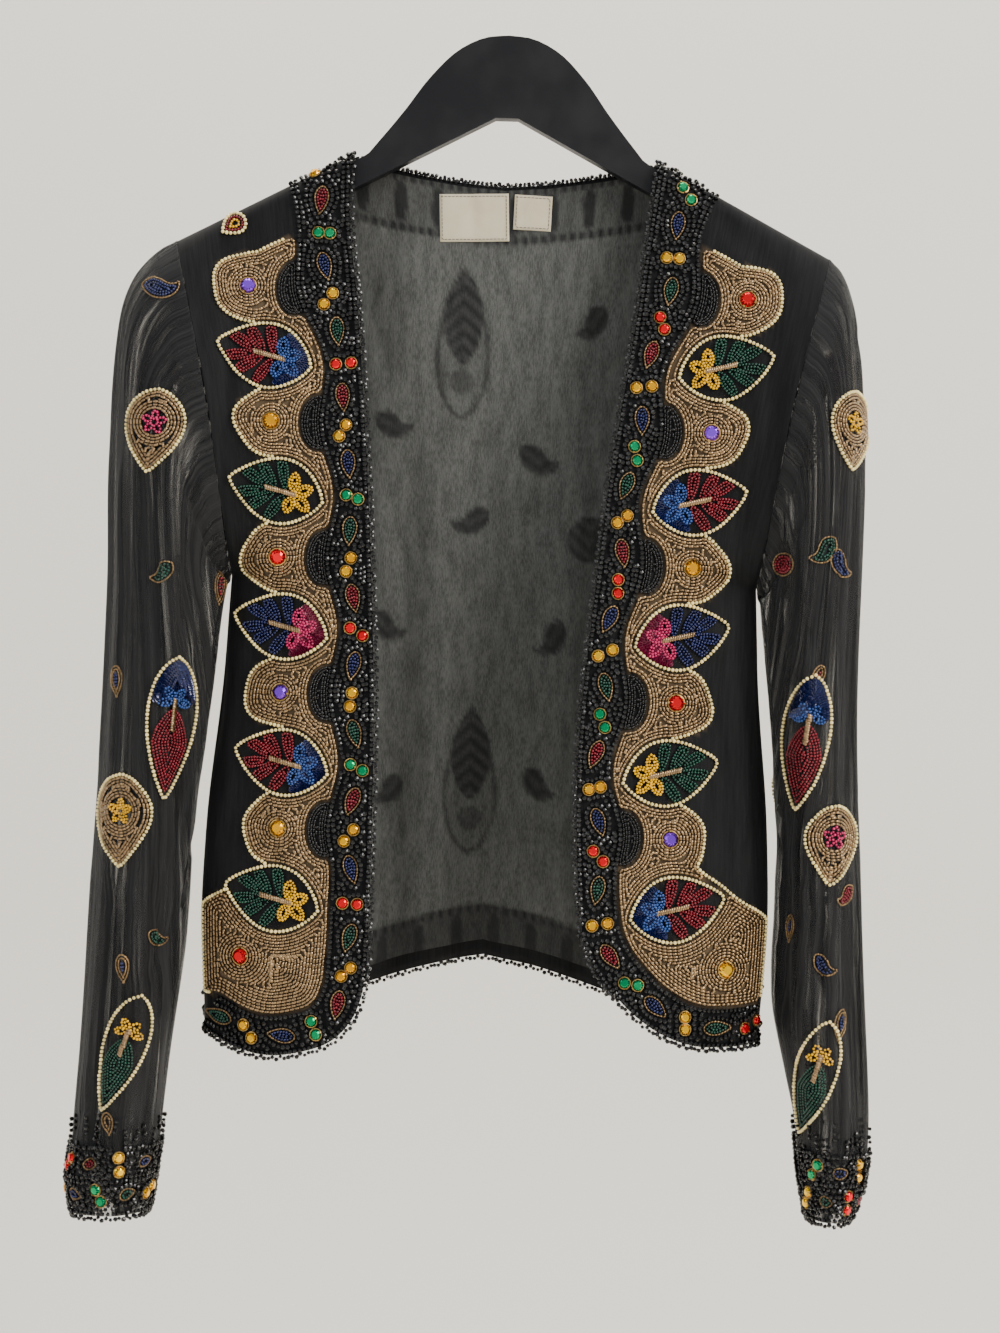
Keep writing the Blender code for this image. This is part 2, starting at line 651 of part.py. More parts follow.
def build():
    for old in list(bpy.data.objects):
        bpy.data.objects.remove(old)
    parts = collection("bolero_jacket_on_hanger")
    cutters = collection("cutters")
    black_cloth = material("black_silk", (0.012, 0.012, 0.014), 0.75)
    sheer_cloth = material("sheer_black_silk", (0.02, 0.02, 0.023), 0.8)
    lining_cloth = material("grey_lining", (0.06, 0.06, 0.06), 0.7)
    black_beads = material("black_beads", (0.01, 0.01, 0.012), 0.25)
    gold_beads = material("gold_beads", (0.42, 0.28, 0.12), 0.3, 0.8)
    petal_beads = material("petal_beads", (0.25, 0.02, 0.04), 0.3)
    black_wood = material("black_hanger", (0.018, 0.018, 0.018), 0.6)
    label_cloth = material("label_cloth", (0.75, 0.66, 0.48), 0.9)
    stone_looks = {
        "purple": material("purple_stone", (0.22, 0.08, 0.55), 0.1),
        "yellow": material("yellow_stone", (0.85, 0.50, 0.05), 0.1),
        "red": material("red_stone", (0.75, 0.03, 0.04), 0.1),
    }

    hanger(black_wood, parts)

    back = back_grid()
    wall("back", back, -BODY_WALL, 0, black_cloth, parts)
    behind = -(BODY_WALL + SEAM_GAP)
    wall("back_lining", back, behind - LINING_WALL, behind, lining_cloth, parts,
         rows=slice(2, -1), columns=slice(2, -2))

    neck = smooth_line([(-x, z) for x, z in reversed(BACK_NECK[1:])] + list(BACK_NECK), 60)
    lower = inset(neck, -NECK_BAND)
    outline = np.vstack([[(-NECK_X / MM - 6, 0)], lower, [(NECK_X / MM + 6, 0)]])
    beaded_plate("back_neck_band", back, outline * MM, black_beads, parts, cutters)
    hem = smooth_line([(-x, z) for x, z in reversed(BACK_HEM[1:])] + list(BACK_HEM), 60)
    upper = inset(hem, BACK_BAND)
    outline = np.vstack([[(-200, -620), (-200, upper[0][1])], upper, [(200, upper[-1][1]), (200, -620)]])
    beaded_plate("back_hem_band", back, outline * MM, black_beads, parts, cutters)
    for name, x, z, length, width in BACK_PIECES:
        outline = petal_outline((x, z), length, width, point_down=False) * MM
        beaded_plate(name, back, outline, petal_beads, parts, cutters)

    for side in SIDES:
        front = front_grid(side)
        wall(f"{side}_front", front, -BODY_WALL, 0, black_cloth, parts)
        beaded_plate(f"{side}_front_band", front, in_metres(band_outline(side), side), black_beads,
                     parts, cutters)
        beaded_plate(f"{side}_gold_border", front, in_metres(gold_outline(side), side), gold_beads,
                     parts, cutters)
        stones_on = surface_tree(moved_out(front, BEAD_GAP + BEAD_WALL))
        lobes, _ = unit_places(side)
        spots = [(x + LOBE_REACH, z) for x, z in lobes] + [CORNER_STONE]
        colours = ("purple", "yellow", "red") if side == "right" else ("red", "purple", "yellow")
        for number, (x, z) in enumerate(spots):
            spot, normal = spot_on(stones_on, SIDES[side] * x * MM, z * MM)
            stone(f"{side}_stone_{number + 1}", spot, normal, stone_looks[colours[number % 3]], parts)

        sleeve = sleeve_grid(side)
        wall(f"{side}_sleeve", sleeve, -SLEEVE_WALL, 0, sheer_cloth, parts, True)
        wall(f"{side}_cuff", sleeve, BEAD_GAP, BEAD_GAP + BEAD_WALL, black_beads, parts, True,
             rows=slice(-CUFF_ROWS, None))
        for name, x, z, length, width, lean, kind in SLEEVE_PIECES[side]:
            outline = in_metres(petal_outline((x, z), length, width, lean), side)
            look = gold_beads if kind == "gold" else petal_beads
            beaded_plate(f"{side}_{name}", sleeve, outline, look, parts, cutters, True, (-0.2, 0.0))

    lining_front = surface_tree(moved_out(back, behind - LINING_WALL - SEAM_GAP))
    for name, x, z, width, height in LABELS:
        columns = np.linspace(x - width / 2, x + width / 2, 5)
        rows = np.linspace(z + height / 2, z - height / 2, 4)
        points = np.array([[spot_on(lining_front, c * MM, r * MM)[0] for c in columns] for r in rows])
        mesh = walled_mesh(name, points - np.array([0, LABEL_WALL, 0]), points)
        add_object(name, mesh, label_cloth, parts)


build()
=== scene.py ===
# %% [markdown]
# A beaded bolero jacket on a flat hanger.
#
# The jacket is black silk: crinkled and see-through on the sleeves, lined on the body. Almost all
# that the eye reads is glass sewn onto it: gold tubes in echoing rows, cream pearls round every
# shape, black cut beads along the edges, coloured seed beads in the leaves, and cut stones.
# So this lesson builds the cloth first, then a way of laying strings of beads on it, then the
# patterns, one string at a time.

import json
import math

import bmesh
import bpy
import numpy as np
from mathutils import Matrix, Vector
from mathutils.bvhtree import BVHTree

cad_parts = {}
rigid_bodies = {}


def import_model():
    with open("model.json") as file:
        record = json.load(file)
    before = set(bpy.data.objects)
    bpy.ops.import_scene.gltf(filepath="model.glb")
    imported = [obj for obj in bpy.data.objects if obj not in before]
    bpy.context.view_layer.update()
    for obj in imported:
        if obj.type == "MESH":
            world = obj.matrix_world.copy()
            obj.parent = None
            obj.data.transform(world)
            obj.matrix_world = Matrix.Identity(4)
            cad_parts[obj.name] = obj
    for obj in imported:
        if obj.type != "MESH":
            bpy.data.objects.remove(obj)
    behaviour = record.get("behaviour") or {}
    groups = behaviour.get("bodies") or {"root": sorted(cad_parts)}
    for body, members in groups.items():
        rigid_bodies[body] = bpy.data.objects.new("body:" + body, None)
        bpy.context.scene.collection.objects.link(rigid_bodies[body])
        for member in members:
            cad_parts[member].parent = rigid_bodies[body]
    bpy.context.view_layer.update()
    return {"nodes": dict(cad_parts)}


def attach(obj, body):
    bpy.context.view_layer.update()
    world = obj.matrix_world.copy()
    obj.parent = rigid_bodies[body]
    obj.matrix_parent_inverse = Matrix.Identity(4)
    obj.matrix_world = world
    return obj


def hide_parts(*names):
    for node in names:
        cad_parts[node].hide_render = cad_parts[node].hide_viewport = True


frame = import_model()
print("nodes in the frame:", len(frame["nodes"]))

# %% [markdown]
# The cloth follows a few rules: how the shoulder falls, where the front opens, how the side runs,
# how deep the jacket stands from the hanger. These are the same rules as the solids', read here at a
# much finer step, so that the cloth curves smoothly where the solids have flat facets.

# %% Sizes shared with the solids, in metres and in tables of millimetres
MM = 0.001
SIDES = {"right": -1, "left": 1}
NECK_X, NECK_Z = 97 * MM, -25 * MM
SHOULDER_FALL, SHOULDER_X = 0.53, 205 * MM
UNDERARM_X, UNDERARM_Z = 165 * MM, -290 * MM
ARMHOLE_DEPTH, ARMHOLE_BOW = 40 * MM, 5 * MM
RIDGE_FRONT, RIDGE_BACK = 10 * MM, 13 * MM
SEAM_GAP = 0.3 * MM

# height and distance of each front's opening edge
FRONT_EDGE = {
    "right": ((-25, 97), (-60, 97), (-121, 90), (-183, 84), (-244, 79), (-306, 75), (-367, 72), (-429, 71),
        (-480, 71), (-527, 71.5)),
    "left": ((-25, 97), (-79, 90), (-129, 84), (-178, 77), (-228, 70), (-277, 65), (-326, 60), (-376, 56),
        (-430, 55), (-474, 57), (-511, 61)),
}
# distance and height along each front's hem
FRONT_HEM = {
    "right": ((71.5, -527), (74, -549), (81, -566), (93, -578), (111, -585), (132, -588), (153, -584),
        (174, -574)),
    "left": ((61, -511), (69, -529), (82, -545), (97, -559), (113, -569), (131, -575), (152, -576),
        (174, -574)),
}
# height and distance down the side seam
SIDE_SEAM = ((-290, 165), (-350, 168), (-440, 176), (-490, 178), (-574, 174))
# distance and height along the back's neckline and hem, from the middle
BACK_NECK = ((0, -40), (30, -37.5), (60, -33), (82, -28.5), (97, -25))
BACK_HEM = ((0, -531), (36, -538), (76, -551), (125, -565), (174, -574))
# drop below the shoulder, and how far the cloth stands out there
FRONT_DEPTH = ((0, 0), (60, 5), (140, 14), (260, 24), (380, 31), (560, 38))
BACK_DEPTH = ((0, 0), (60, 3), (140, 11), (260, 24), (380, 34), (560, 42))
# sleeve rings: outer x and z, inner x and z, half depth
SLEEVE = {
    "right": ((205.5, -82, 165.8, -291, 40), (214, -88.5, 166.5, -296, 42), (223, -98, 167.2, -302, 44),
        (231, -111, 168.2, -309, 45.5), (236.5, -130, 169.5, -318, 46.5), (239, -160, 171, -330, 46.5),
        (240, -200, 172.5, -345, 46), (240, -245, 174.5, -364, 45), (239, -292, 177, -386, 44),
        (240, -338, 180.5, -411, 43), (241.5, -384, 184, -438, 42), (243, -428, 186, -467, 41),
        (245, -470, 187, -497, 40), (246.5, -510, 188.5, -527, 39), (248, -550, 192, -559, 37.5),
        (250, -590, 196, -593, 36), (252.5, -625, 199, -625, 34.5), (254.5, -650, 200.5, -648, 33),
        (257, -672, 203, -668, 32), (254, -693, 206, -691, 31)),
    "left": ((205.5, -82, 165.8, -291, 40), (212, -90, 166.5, -296, 42), (217.5, -101, 167.2, -302, 44),
        (221.5, -115, 168.2, -309, 45.5), (224, -135, 169.5, -318, 46.5), (226.5, -162, 171, -330, 46.5),
        (229, -200, 172.5, -345, 46), (229, -245, 174.5, -364, 45), (228.5, -292, 177, -386, 44),
        (228, -338, 179.5, -411, 43), (228.5, -384, 181.5, -438, 42), (230.5, -428, 183, -467, 41),
        (233, -470, 183, -497, 40), (235, -510, 182, -527, 39), (237.5, -550, 183.5, -556, 37.5),
        (240.5, -590, 191, -590, 36), (242.5, -622, 198, -620, 34), (243, -645, 201, -643, 32),
        (241, -666, 204, -664, 30), (235, -684, 208, -684, 28)),
}
# long folds down a sleeve: waves round it, depth, turn at the top and at the cuff
SLEEVE_FOLDS = {
    "right": ((4, 2.6, 0.3, 1.6), (7, 1.7, 1.1, -0.9)),
    "left": ((4, 2.4, 2.0, 0.7), (7, 1.8, 0.2, 2.2)),
}
BACK_FOLDS = ((5.0, 3.0, 0.4), (8.0, 1.8, 1.9))

# %% Smooth lines through short tables


def through(table, at):
    """Smooth values through (key, value) rows, at the given keys."""
    rows = sorted(table)
    keys = np.array([row[0] for row in rows], float)
    values = np.array([row[1] for row in rows], float)
    slopes = np.gradient(values, keys)
    at = np.clip(np.asarray(at, float), keys[0], keys[-1])
    cell = np.clip(np.searchsorted(keys, at) - 1, 0, len(keys) - 2)
    width = keys[cell + 1] - keys[cell]
    t = (at - keys[cell]) / width
    return ((2 * t**3 - 3 * t**2 + 1) * values[cell]
            + (t**3 - 2 * t**2 + t) * width * slopes[cell]
            + (3 * t**2 - 2 * t**3) * values[cell + 1]
            + (t**3 - t**2) * width * slopes[cell + 1])


def run_of(points):
    """Length along a line at each of its points."""
    return np.r_[0, np.cumsum(np.linalg.norm(np.diff(points, axis=0), axis=1))]


def spaced(points, step):
    """The same line with points at about that spacing."""
    points = np.asarray(points, float)
    run = run_of(points)
    even = np.linspace(0, run[-1], max(2, int(round(run[-1] / step)) + 1))
    return np.stack([np.interp(even, run, points[:, k]) for k in range(points.shape[1])], 1)


def smooth_line(points, step):
    """A smooth line through a few points."""
    points = np.array(points, float)
    run = run_of(points)
    fine = np.linspace(0, run[-1], 500)
    line = np.stack([through(list(zip(run, points[:, k])), fine) for k in range(points.shape[1])], 1)
    return spaced(line, step)


def ease(t):
    t = np.clip(t, 0, 1)
    return t * t * (3 - 2 * t)


def unit(vectors):
    return vectors / np.maximum(np.linalg.norm(vectors, axis=-1, keepdims=True), 1e-12)


print("front opening, right:", round(float(run_of(np.array(FRONT_EDGE["right"], float))[-1])), "mm long")

# %% [markdown]
# A panel hangs between its middle edge and its side. Its top row follows the shoulder, its bottom
# row the hem, and the rows between them are blended, as a hammock's are. The depth rounds over the
# hanger first, then opens out toward the hem, and turns in at the side seam.

# %% The panels of the body


def shoulder_height(x):
    return NECK_Z - SHOULDER_FALL * (np.abs(x) - NECK_X)


SHOULDER_END = float(shoulder_height(SHOULDER_X))
SIDE_FOOT = SIDE_SEAM[-1][0] * MM
UNDERARM_SHARE = (SHOULDER_END - UNDERARM_Z) / (SHOULDER_END - SIDE_FOOT)


def side_line(share):
    """Where a panel meets the sleeve, then the side seam: x, z and depth."""
    z = SHOULDER_END + (SIDE_FOOT - SHOULDER_END) * np.asarray(share, float)
    t = np.clip((SHOULDER_END - z) / (SHOULDER_END - UNDERARM_Z), 0, 1)
    armhole_x = SHOULDER_X + (UNDERARM_X - SHOULDER_X) * t - ARMHOLE_BOW * np.sin(math.pi * t)
    depth = ARMHOLE_DEPTH * np.sqrt(np.maximum(0, 1 - (2 * t - 1) ** 2))
    above = z > UNDERARM_Z
    return np.where(above, armhole_x, through(SIDE_SEAM, z / MM) * MM), z, np.where(above, depth, 0)


def row_shares(rows):
    """Rows close together over the shoulder's ridge, then even."""
    near = 0.05 * UNDERARM_SHARE * np.linspace(0, 1, 9) ** 1.5
    return np.r_[near, np.linspace(near[-1], 1, rows - 8)[1:]]


def panel(edge, top, hem, shares, across, depth_table, ridge_radius, facing):
    g, v = np.meshgrid(across, shares)
    side_x, side_z, side_depth = side_line(v)
    edge_x, edge_z = edge(v)
    top_x, top_z = top(g)
    hem_x, hem_z = hem(g)

    def blended(edge_at, side_at, top_at, hem_at):
        corners = ((1 - g) * (1 - v) * edge_at[0, 0] + g * (1 - v) * side_at[0, -1]
                   + (1 - g) * v * edge_at[-1, 0] + g * v * side_at[-1, -1])
        return (1 - v) * top_at + v * hem_at + (1 - g) * edge_at + g * side_at - corners

    x = blended(edge_x, side_x, top_x, hem_x)
    z = blended(edge_z, side_z, top_z, hem_z)
    drop = np.maximum(0, shoulder_height(x) - z)
    drop[0] = np.where(np.abs(top_x[0]) >= NECK_X - 1e-9, 0, drop[0])
    over = np.clip(drop / ridge_radius, 0, 1)
    middle = ridge_radius * np.sqrt(np.maximum(0, 1 - (1 - over) ** 2))
    middle = middle + through(depth_table, drop / MM) * MM
    below = ease((v / UNDERARM_SHARE - 0.55) / 0.45)
    round_side = 1 - (1 - g**2.6) ** (1 / 2.6)
    blend = (1 - below) * g**2 + below * round_side
    y = facing * ((1 - blend) * middle + blend * side_depth)
    y = np.where(np.abs(y) < SEAM_GAP / 2, facing * SEAM_GAP / 2, y)
    return np.stack([x, y, z], -1)


def quarter_steps(count):
    return np.sin(np.linspace(0, math.pi / 2, count + 1))


def front_grid(side, rows=120, columns=56):
    table = FRONT_EDGE[side]
    hem_line = smooth_line(FRONT_HEM[side], 0.5) * MM
    start, end = table[0][0], table[-1][0]

    def edge(v):
        z = start + (end - start) * v
        return through(table, z) * MM, z * MM

    def top(g):
        x = NECK_X + (SHOULDER_X - NECK_X) * g
        return x, shoulder_height(x)

    def hem(g):
        place = g * (len(hem_line) - 1)
        spots = np.arange(len(hem_line))
        return np.interp(place, spots, hem_line[:, 0]), np.interp(place, spots, hem_line[:, 1])

    points = panel(edge, top, hem, row_shares(rows), quarter_steps(columns), FRONT_DEPTH, RIDGE_FRONT, -1)
    points[..., 0] *= SIDES[side]
    return points if side == "left" else points[:, ::-1]


def back_grid(rows=112, neck_columns=24, shoulder_columns=28):
    neck_share = NECK_X / SHOULDER_X
    across = np.r_[neck_share * np.linspace(0, 0.99, neck_columns),
                   neck_share + (1 - neck_share) * quarter_steps(shoulder_columns)]

    def edge(v):
        return np.zeros_like(v), (BACK_NECK[0][1] + (BACK_HEM[0][1] - BACK_NECK[0][1]) * v) * MM

    def top(g):
        x = SHOULDER_X * g
        neck = through(BACK_NECK, np.minimum(x, NECK_X) / MM) * MM
        return x, np.where(g < neck_share - 1e-9, neck, shoulder_height(x))

    def hem(g):
        x = BACK_HEM[-1][0] * g
        return x * MM, through(BACK_HEM, x) * MM

    half = panel(edge, top, hem, row_shares(rows), across, BACK_DEPTH, RIDGE_BACK, 1)
    points = np.concatenate([half[:, :0:-1] * np.array([-1, 1, 1]), half], 1)
    share = row_shares(rows)[:, None]
    fold_room = ease((share - 0.15) / 0.5) * (1 - np.abs(points[..., 0] / points[:, -1:, 0]) ** 4)
    for waves, depth, turn in BACK_FOLDS:
        points[..., 1] += fold_room * depth * MM * np.cos(waves * points[..., 0] / 0.0565 + turn)
    return points[:, ::-1]


# %% The sleeves


def sleeve_grid(side, rows=120, around=92):
    """Rings from the armhole to the wrist. Angle 0 is the outer line and a quarter turn the back."""
    table = np.array(SLEEVE[side]) * MM
    place = np.linspace(0, len(table) - 1, rows)
    spots = np.arange(len(table))
    fine = np.stack([through(list(zip(spots, table[:, k])), place) for k in range(5)], 1)
    outer, inner = fine[:, 0:2], fine[:, 2:4]
    middle, reach = (outer + inner) / 2, (outer - inner) / 2
    angle = np.linspace(0, 2 * math.pi, around, endpoint=False)
    share = np.linspace(0, 1, rows)[:, None]
    fold_room = ease(share / 0.45) * (1 - 0.6 * ease((share - 0.8) / 0.2))
    swell = 1 + np.zeros((rows, around))
    for waves, depth, first, last in SLEEVE_FOLDS[side]:
        phase = first + (last - first) * share
        away = 0.6 + 0.4 * np.cos(angle)[None, :]
        swell += fold_room * away * depth * MM / (34 * MM) * np.cos(waves * angle[None, :] + phase)
    across, along = np.cos(angle)[None, :] * swell, np.sin(angle)[None, :] * swell
    bow = ARMHOLE_BOW * (1 - ease(share / 0.1)) * np.sin(angle)[None, :] ** 2
    x = middle[:, 0:1] + reach[:, 0:1] * across - bow
    z = middle[:, 1:2] + reach[:, 1:2] * across
    points = np.stack([SIDES[side] * x, fine[:, 4:5] * along, z], -1)
    return points if side == "left" else points[:, ::-1]


def normals_of(points, closed=False):
    """Outward normals of a grid whose rows run down and whose columns run to the right."""
    if closed:
        across = np.roll(points, -1, 1) - np.roll(points, 1, 1)
    else:
        across = np.gradient(points, axis=1)
    return unit(np.cross(np.gradient(points, axis=0), across))


# %% [markdown]
# Silk never hangs as smoothly as a rule says. Each main crease is given as a line from one
# spot to another with a width and a depth: a trough where the depth is negative, a ridge where it is
# positive. No two are alike, and the hidden sides have theirs too. Finer crumple comes from a few
# slow waves that drift as they run down the cloth.

# %% Creases, in share across, share down, width share and depth in mm
SLEEVE_CREASES = {
    # start turn, start down, end turn, end down, width in turns, depth in mm
    "right": ((0.80, 0.10, 0.72, 0.62, 0.030, -4.0), (0.68, 0.16, 0.64, 0.88, 0.022, -3.2),
        (0.87, 0.22, 0.83, 0.95, 0.020, -2.6), (0.60, 0.06, 0.66, 0.34, 0.035, -4.2),
        (0.92, 0.12, 0.90, 0.55, 0.018, 2.0), (0.76, 0.40, 0.79, 0.97, 0.016, 2.4),
        (0.55, 0.30, 0.60, 0.78, 0.024, -3.0), (0.50, 0.04, 0.70, 0.17, 0.028, -3.4),
        (0.48, 0.08, 0.42, 0.50, 0.030, -3.8), (0.30, 0.12, 0.26, 0.80, 0.026, -3.6),
        (0.20, 0.20, 0.22, 0.92, 0.018, 2.2), (0.36, 0.35, 0.33, 0.97, 0.022, -2.8),
        (0.10, 0.10, 0.14, 0.60, 0.020, -2.2), (0.02, 0.30, 0.97, 0.90, 0.018, -2.0),
        (0.72, 0.60, 0.62, 0.70, 0.030, -2.2), (0.84, 0.50, 0.74, 0.56, 0.026, -1.8)),
    "left": ((0.20, 0.08, 0.30, 0.58, 0.030, -4.2), (0.70, 0.12, 0.74, 0.70, 0.026, -3.8),
        (0.82, 0.18, 0.86, 0.92, 0.020, -2.8), (0.61, 0.08, 0.66, 0.44, 0.032, -4.0),
        (0.90, 0.30, 0.93, 0.85, 0.018, 2.2), (0.78, 0.45, 0.76, 0.96, 0.018, 2.6),
        (0.56, 0.34, 0.61, 0.90, 0.022, -3.0), (0.50, 0.05, 0.68, 0.19, 0.026, -3.6),
        (0.46, 0.10, 0.44, 0.56, 0.028, -3.4), (0.34, 0.16, 0.37, 0.90, 0.022, -3.0),
        (0.24, 0.40, 0.21, 0.96, 0.018, 2.4), (0.12, 0.14, 0.08, 0.66, 0.020, -2.4),
        (0.98, 0.20, 0.03, 0.80, 0.018, -1.9), (0.70, 0.66, 0.80, 0.74, 0.028, -2.4),
        (0.66, 0.52, 0.77, 0.60, 0.024, -2.0)),
}
# start x and z, end x and z, width and depth, in mm; x is the distance from the middle
FRONT_CREASES = {
    "right": ((165, -120, 172, -250, 6, -2.0), (150, -330, 158, -470, 7, -2.2),
        (172, -330, 170, -430, 5, -1.6), (140, -60, 176, -110, 9, -1.8), (158, -270, 140, -330, 8, -1.8),
        (120, -45, 150, -78, 8, 1.2)),
    "left": ((168, -110, 170, -240, 7, -2.2), (140, -340, 150, -480, 7, -2.4),
        (168, -340, 172, -470, 5, -1.8), (132, -55, 180, -104, 9, -1.9), (160, -275, 136, -318, 8, -2.0),
        (126, -180, 134, -300, 9, 1.4)),
}
BACK_CREASES = (
    (-150, -110, -120, -260, 12, -3.0), (148, -120, 126, -280, 12, -3.2), (-60, -90, -78, -330, 14, -2.4),
    (40, -80, 52, -300, 12, -2.2), (-20, -220, -8, -500, 10, -2.6), (92, -260, 84, -540, 11, -3.0),
    (-112, -300, -104, -550, 11, -2.8), (10, -120, 24, -260, 9, 1.8), (150, -330, 138, -520, 9, -2.2),
    (-152, -320, -146, -540, 9, -2.0),
)


# %% [markdown]
# Beadwork is stiff, so the cloth lies calmer under a large motif. For that the loose motifs are
# listed here, before the cloth is creased: where the middle of each lies, how it leans, its kind,
# its size, and its colours.

# %% Where the loose motifs lie
# distance and height of the middle in mm, lean, kind, size in mm, colour, then a petal's second
# colour, or 1 for a paisley that curls the other way
SLEEVE_MOTIFS = {
    "right": ((211, -114, 0.5, "paisley", 26, "navy"), (212, -205, -0.12, "medallion", 52, "pink"),
        (172, -71, 0.1, "drop", 20, "yellow"), (205, -292, 0.1, "paisley", 20, "green", 1),
        (171, -300, 0.0, "drop", 22, "red"), (232, -360, 0.1, "drop", 20, "navy"),
        (197, -388, -0.08, "petal", 88, "red", "blue"), (226, -446, 0.0, "medallion", 58, "yellow"),
        (203, -518, 0.2, "paisley", 18, "green"), (222, -537, 0.1, "drop", 18, "navy"),
        (222, -590, -0.30, "petal", 76, "green", "yellow"), (229, -634, 0.2, "drop", 15, "red")),
    "left": ((220, -192, 0.08, "medallion", 50, "yellow"), (202, -267, -0.2, "paisley", 24, "green", 1),
        (214, -275, 0.3, "paisley", 24, "navy"), (180, -276, 0.0, "round", 15, "red"),
        (195, -386, 0.10, "petal", 84, "red", "blue"), (201, -345, 0.4, "drop", 16, "red"),
        (214, -449, 0.06, "medallion", 50, "pink"), (222, -480, 0.0, "paisley", 20, "red", 1),
        (191, -502, 0.1, "drop", 18, "navy"), (211, -523, 0.1, "paisley", 20, "navy"),
        (207, -594, 0.22, "petal", 74, "green", "yellow"), (222, -560, 0.2, "drop", 20, "navy")),
}
SLEEVE_BACK_MOTIFS = {
    "right": ((214, -180, 0.2, "petal", 80, "green", "yellow"), (205, -282, 0.3, "paisley", 24, "red"),
        (222, -330, -0.2, "paisley", 22, "navy", 1), (206, -412, 0.1, "medallion", 54, "pink"),
        (226, -478, 0.3, "drop", 20, "green"), (210, -512, 0.0, "paisley", 20, "red", 1),
        (216, -585, 0.15, "petal", 72, "navy", "pink")),
    "left": ((206, -176, -0.2, "petal", 80, "navy", "pink"), (196, -290, 0.2, "paisley", 24, "green", 1),
        (212, -340, 0.0, "drop", 20, "red"), (200, -420, -0.1, "medallion", 52, "yellow"),
        (215, -486, 0.2, "paisley", 22, "navy"), (198, -520, 0.3, "drop", 18, "green"),
        (208, -590, 0.1, "petal", 70, "red", "blue")),
}
# the same for the back, where the distance has a sign
BACK_MOTIFS = (
    (-24, -139, math.pi, "petal", 98, "green", "yellow"), (-12, -418, math.pi, "petal", 98, "red", "blue"),
    (-66, -191, 0.3, "paisley", 30, "navy"), (-17, -251, -0.2, "paisley", 30, "red", 1),
    (27, -211, 0.1, "paisley", 32, "green"), (57, -124, 0.3, "paisley", 30, "navy", 1),
    (-67, -320, 0.0, "paisley", 30, "green"), (37, -326, 0.4, "paisley", 30, "red", 1),
    (33, -420, -0.2, "paisley", 30, "navy"), (-66, -426, 0.2, "paisley", 28, "red", 1),
    (61, -262, 0.0, "round", 30, "pink"), (-122, -180, 0.2, "medallion", 52, "yellow"),
    (124, -190, -0.2, "medallion", 52, "pink"), (-120, -300, 0.3, "paisley", 30, "navy", 1),
    (118, -310, 0.1, "paisley", 30, "green"), (-128, -410, 0.1, "petal", 80, "green", "yellow"),
    (126, -420, -0.1, "petal", 80, "navy", "pink"), (-84, -488, 0.2, "paisley", 26, "red"),
    (66, -484, 0.2, "paisley", 26, "green", 1), (-100, -100, 0.5, "paisley", 26, "green"),
    (98, -94, -0.4, "paisley", 26, "red", 1),
)
# distance, height and lean of the drop at the right shoulder
SHOULDER_DROP = (169, -73, 0.9)


def calm_under(points, side):
    """How still the cloth lies under the large motifs of a sleeve, from 0 to 1."""
    x, z, still = np.abs(points[..., 0]) / MM, points[..., 2] / MM, np.zeros(points.shape[:2])
    for behind, table in ((-1, SLEEVE_MOTIFS[side]), (1, SLEEVE_BACK_MOTIFS[side])):
        for mx, mz, _, kind, size, *_ in table:
            if kind in ("petal", "medallion"):
                wide = size * (0.30 if kind == "petal" else 0.55)
                away = np.hypot((x - mx) / wide, (z - mz) / (size * 0.62))
                still = np.maximum(still, ease((1.35 - away) / 0.6) * (points[..., 1] * behind > 0))
    return still


# %% Creases and crumple
def trough(p, q, start, end, width, steep=1.0):
    """How much of a crease is felt at each spot: 1 on its line, fading to its sides and its ends.

    Where steep is under 1 one side falls away faster, as where cloth folds over itself."""
    (p0, q0), (p1, q1) = start, end
    along = ((p - p0) * (p1 - p0) + (q - q0) * (q1 - q0)) / ((p1 - p0) ** 2 + (q1 - q0) ** 2)
    t = np.clip(along, 0, 1)
    away = np.hypot(p - p0 - t * (p1 - p0), q - q0 - t * (q1 - q0))
    fade = np.sin(math.pi * np.clip(0.08 + 0.84 * along, 0, 1)) ** 0.6
    one_side = (p - p0) * (q1 - q0) - (q - q0) * (p1 - p0) > 0
    reach = np.where(one_side, width * (2 - steep), width * steep)
    return np.exp(-((away / reach) ** 2)) * np.where((along > -0.1) & (along < 1.1), fade, 0)


def crumple(p, q, waves):
    """Slow uneven waves: each row is cycles across and down, a drift, and a depth in mm."""
    made = np.zeros_like(p)
    for across, down, drift, depth in waves:
        made += depth * np.sin(2 * math.pi * (across * p + down * q) + drift * np.sin(5.1 * q + drift))
    return made * MM


def creased_body(points, table, side_sign, waves):
    x, z = side_sign * points[..., 0] / MM, points[..., 2] / MM
    out = crumple(x / 100, z / 100, waves)
    for x0, z0, x1, z1, width, depth in table:
        out += depth * MM * trough(x, z, (x0, z0), (x1, z1), width)
    rows, columns = points.shape[:2]
    down, over = np.arange(rows)[:, None], np.arange(columns)[None, :]
    from_rim = np.minimum(np.minimum(down, rows - 1 - down) / 10, np.minimum(over, columns - 1 - over) / 5)
    return points + normals_of(points) * (out * ease(from_rim))[..., None]


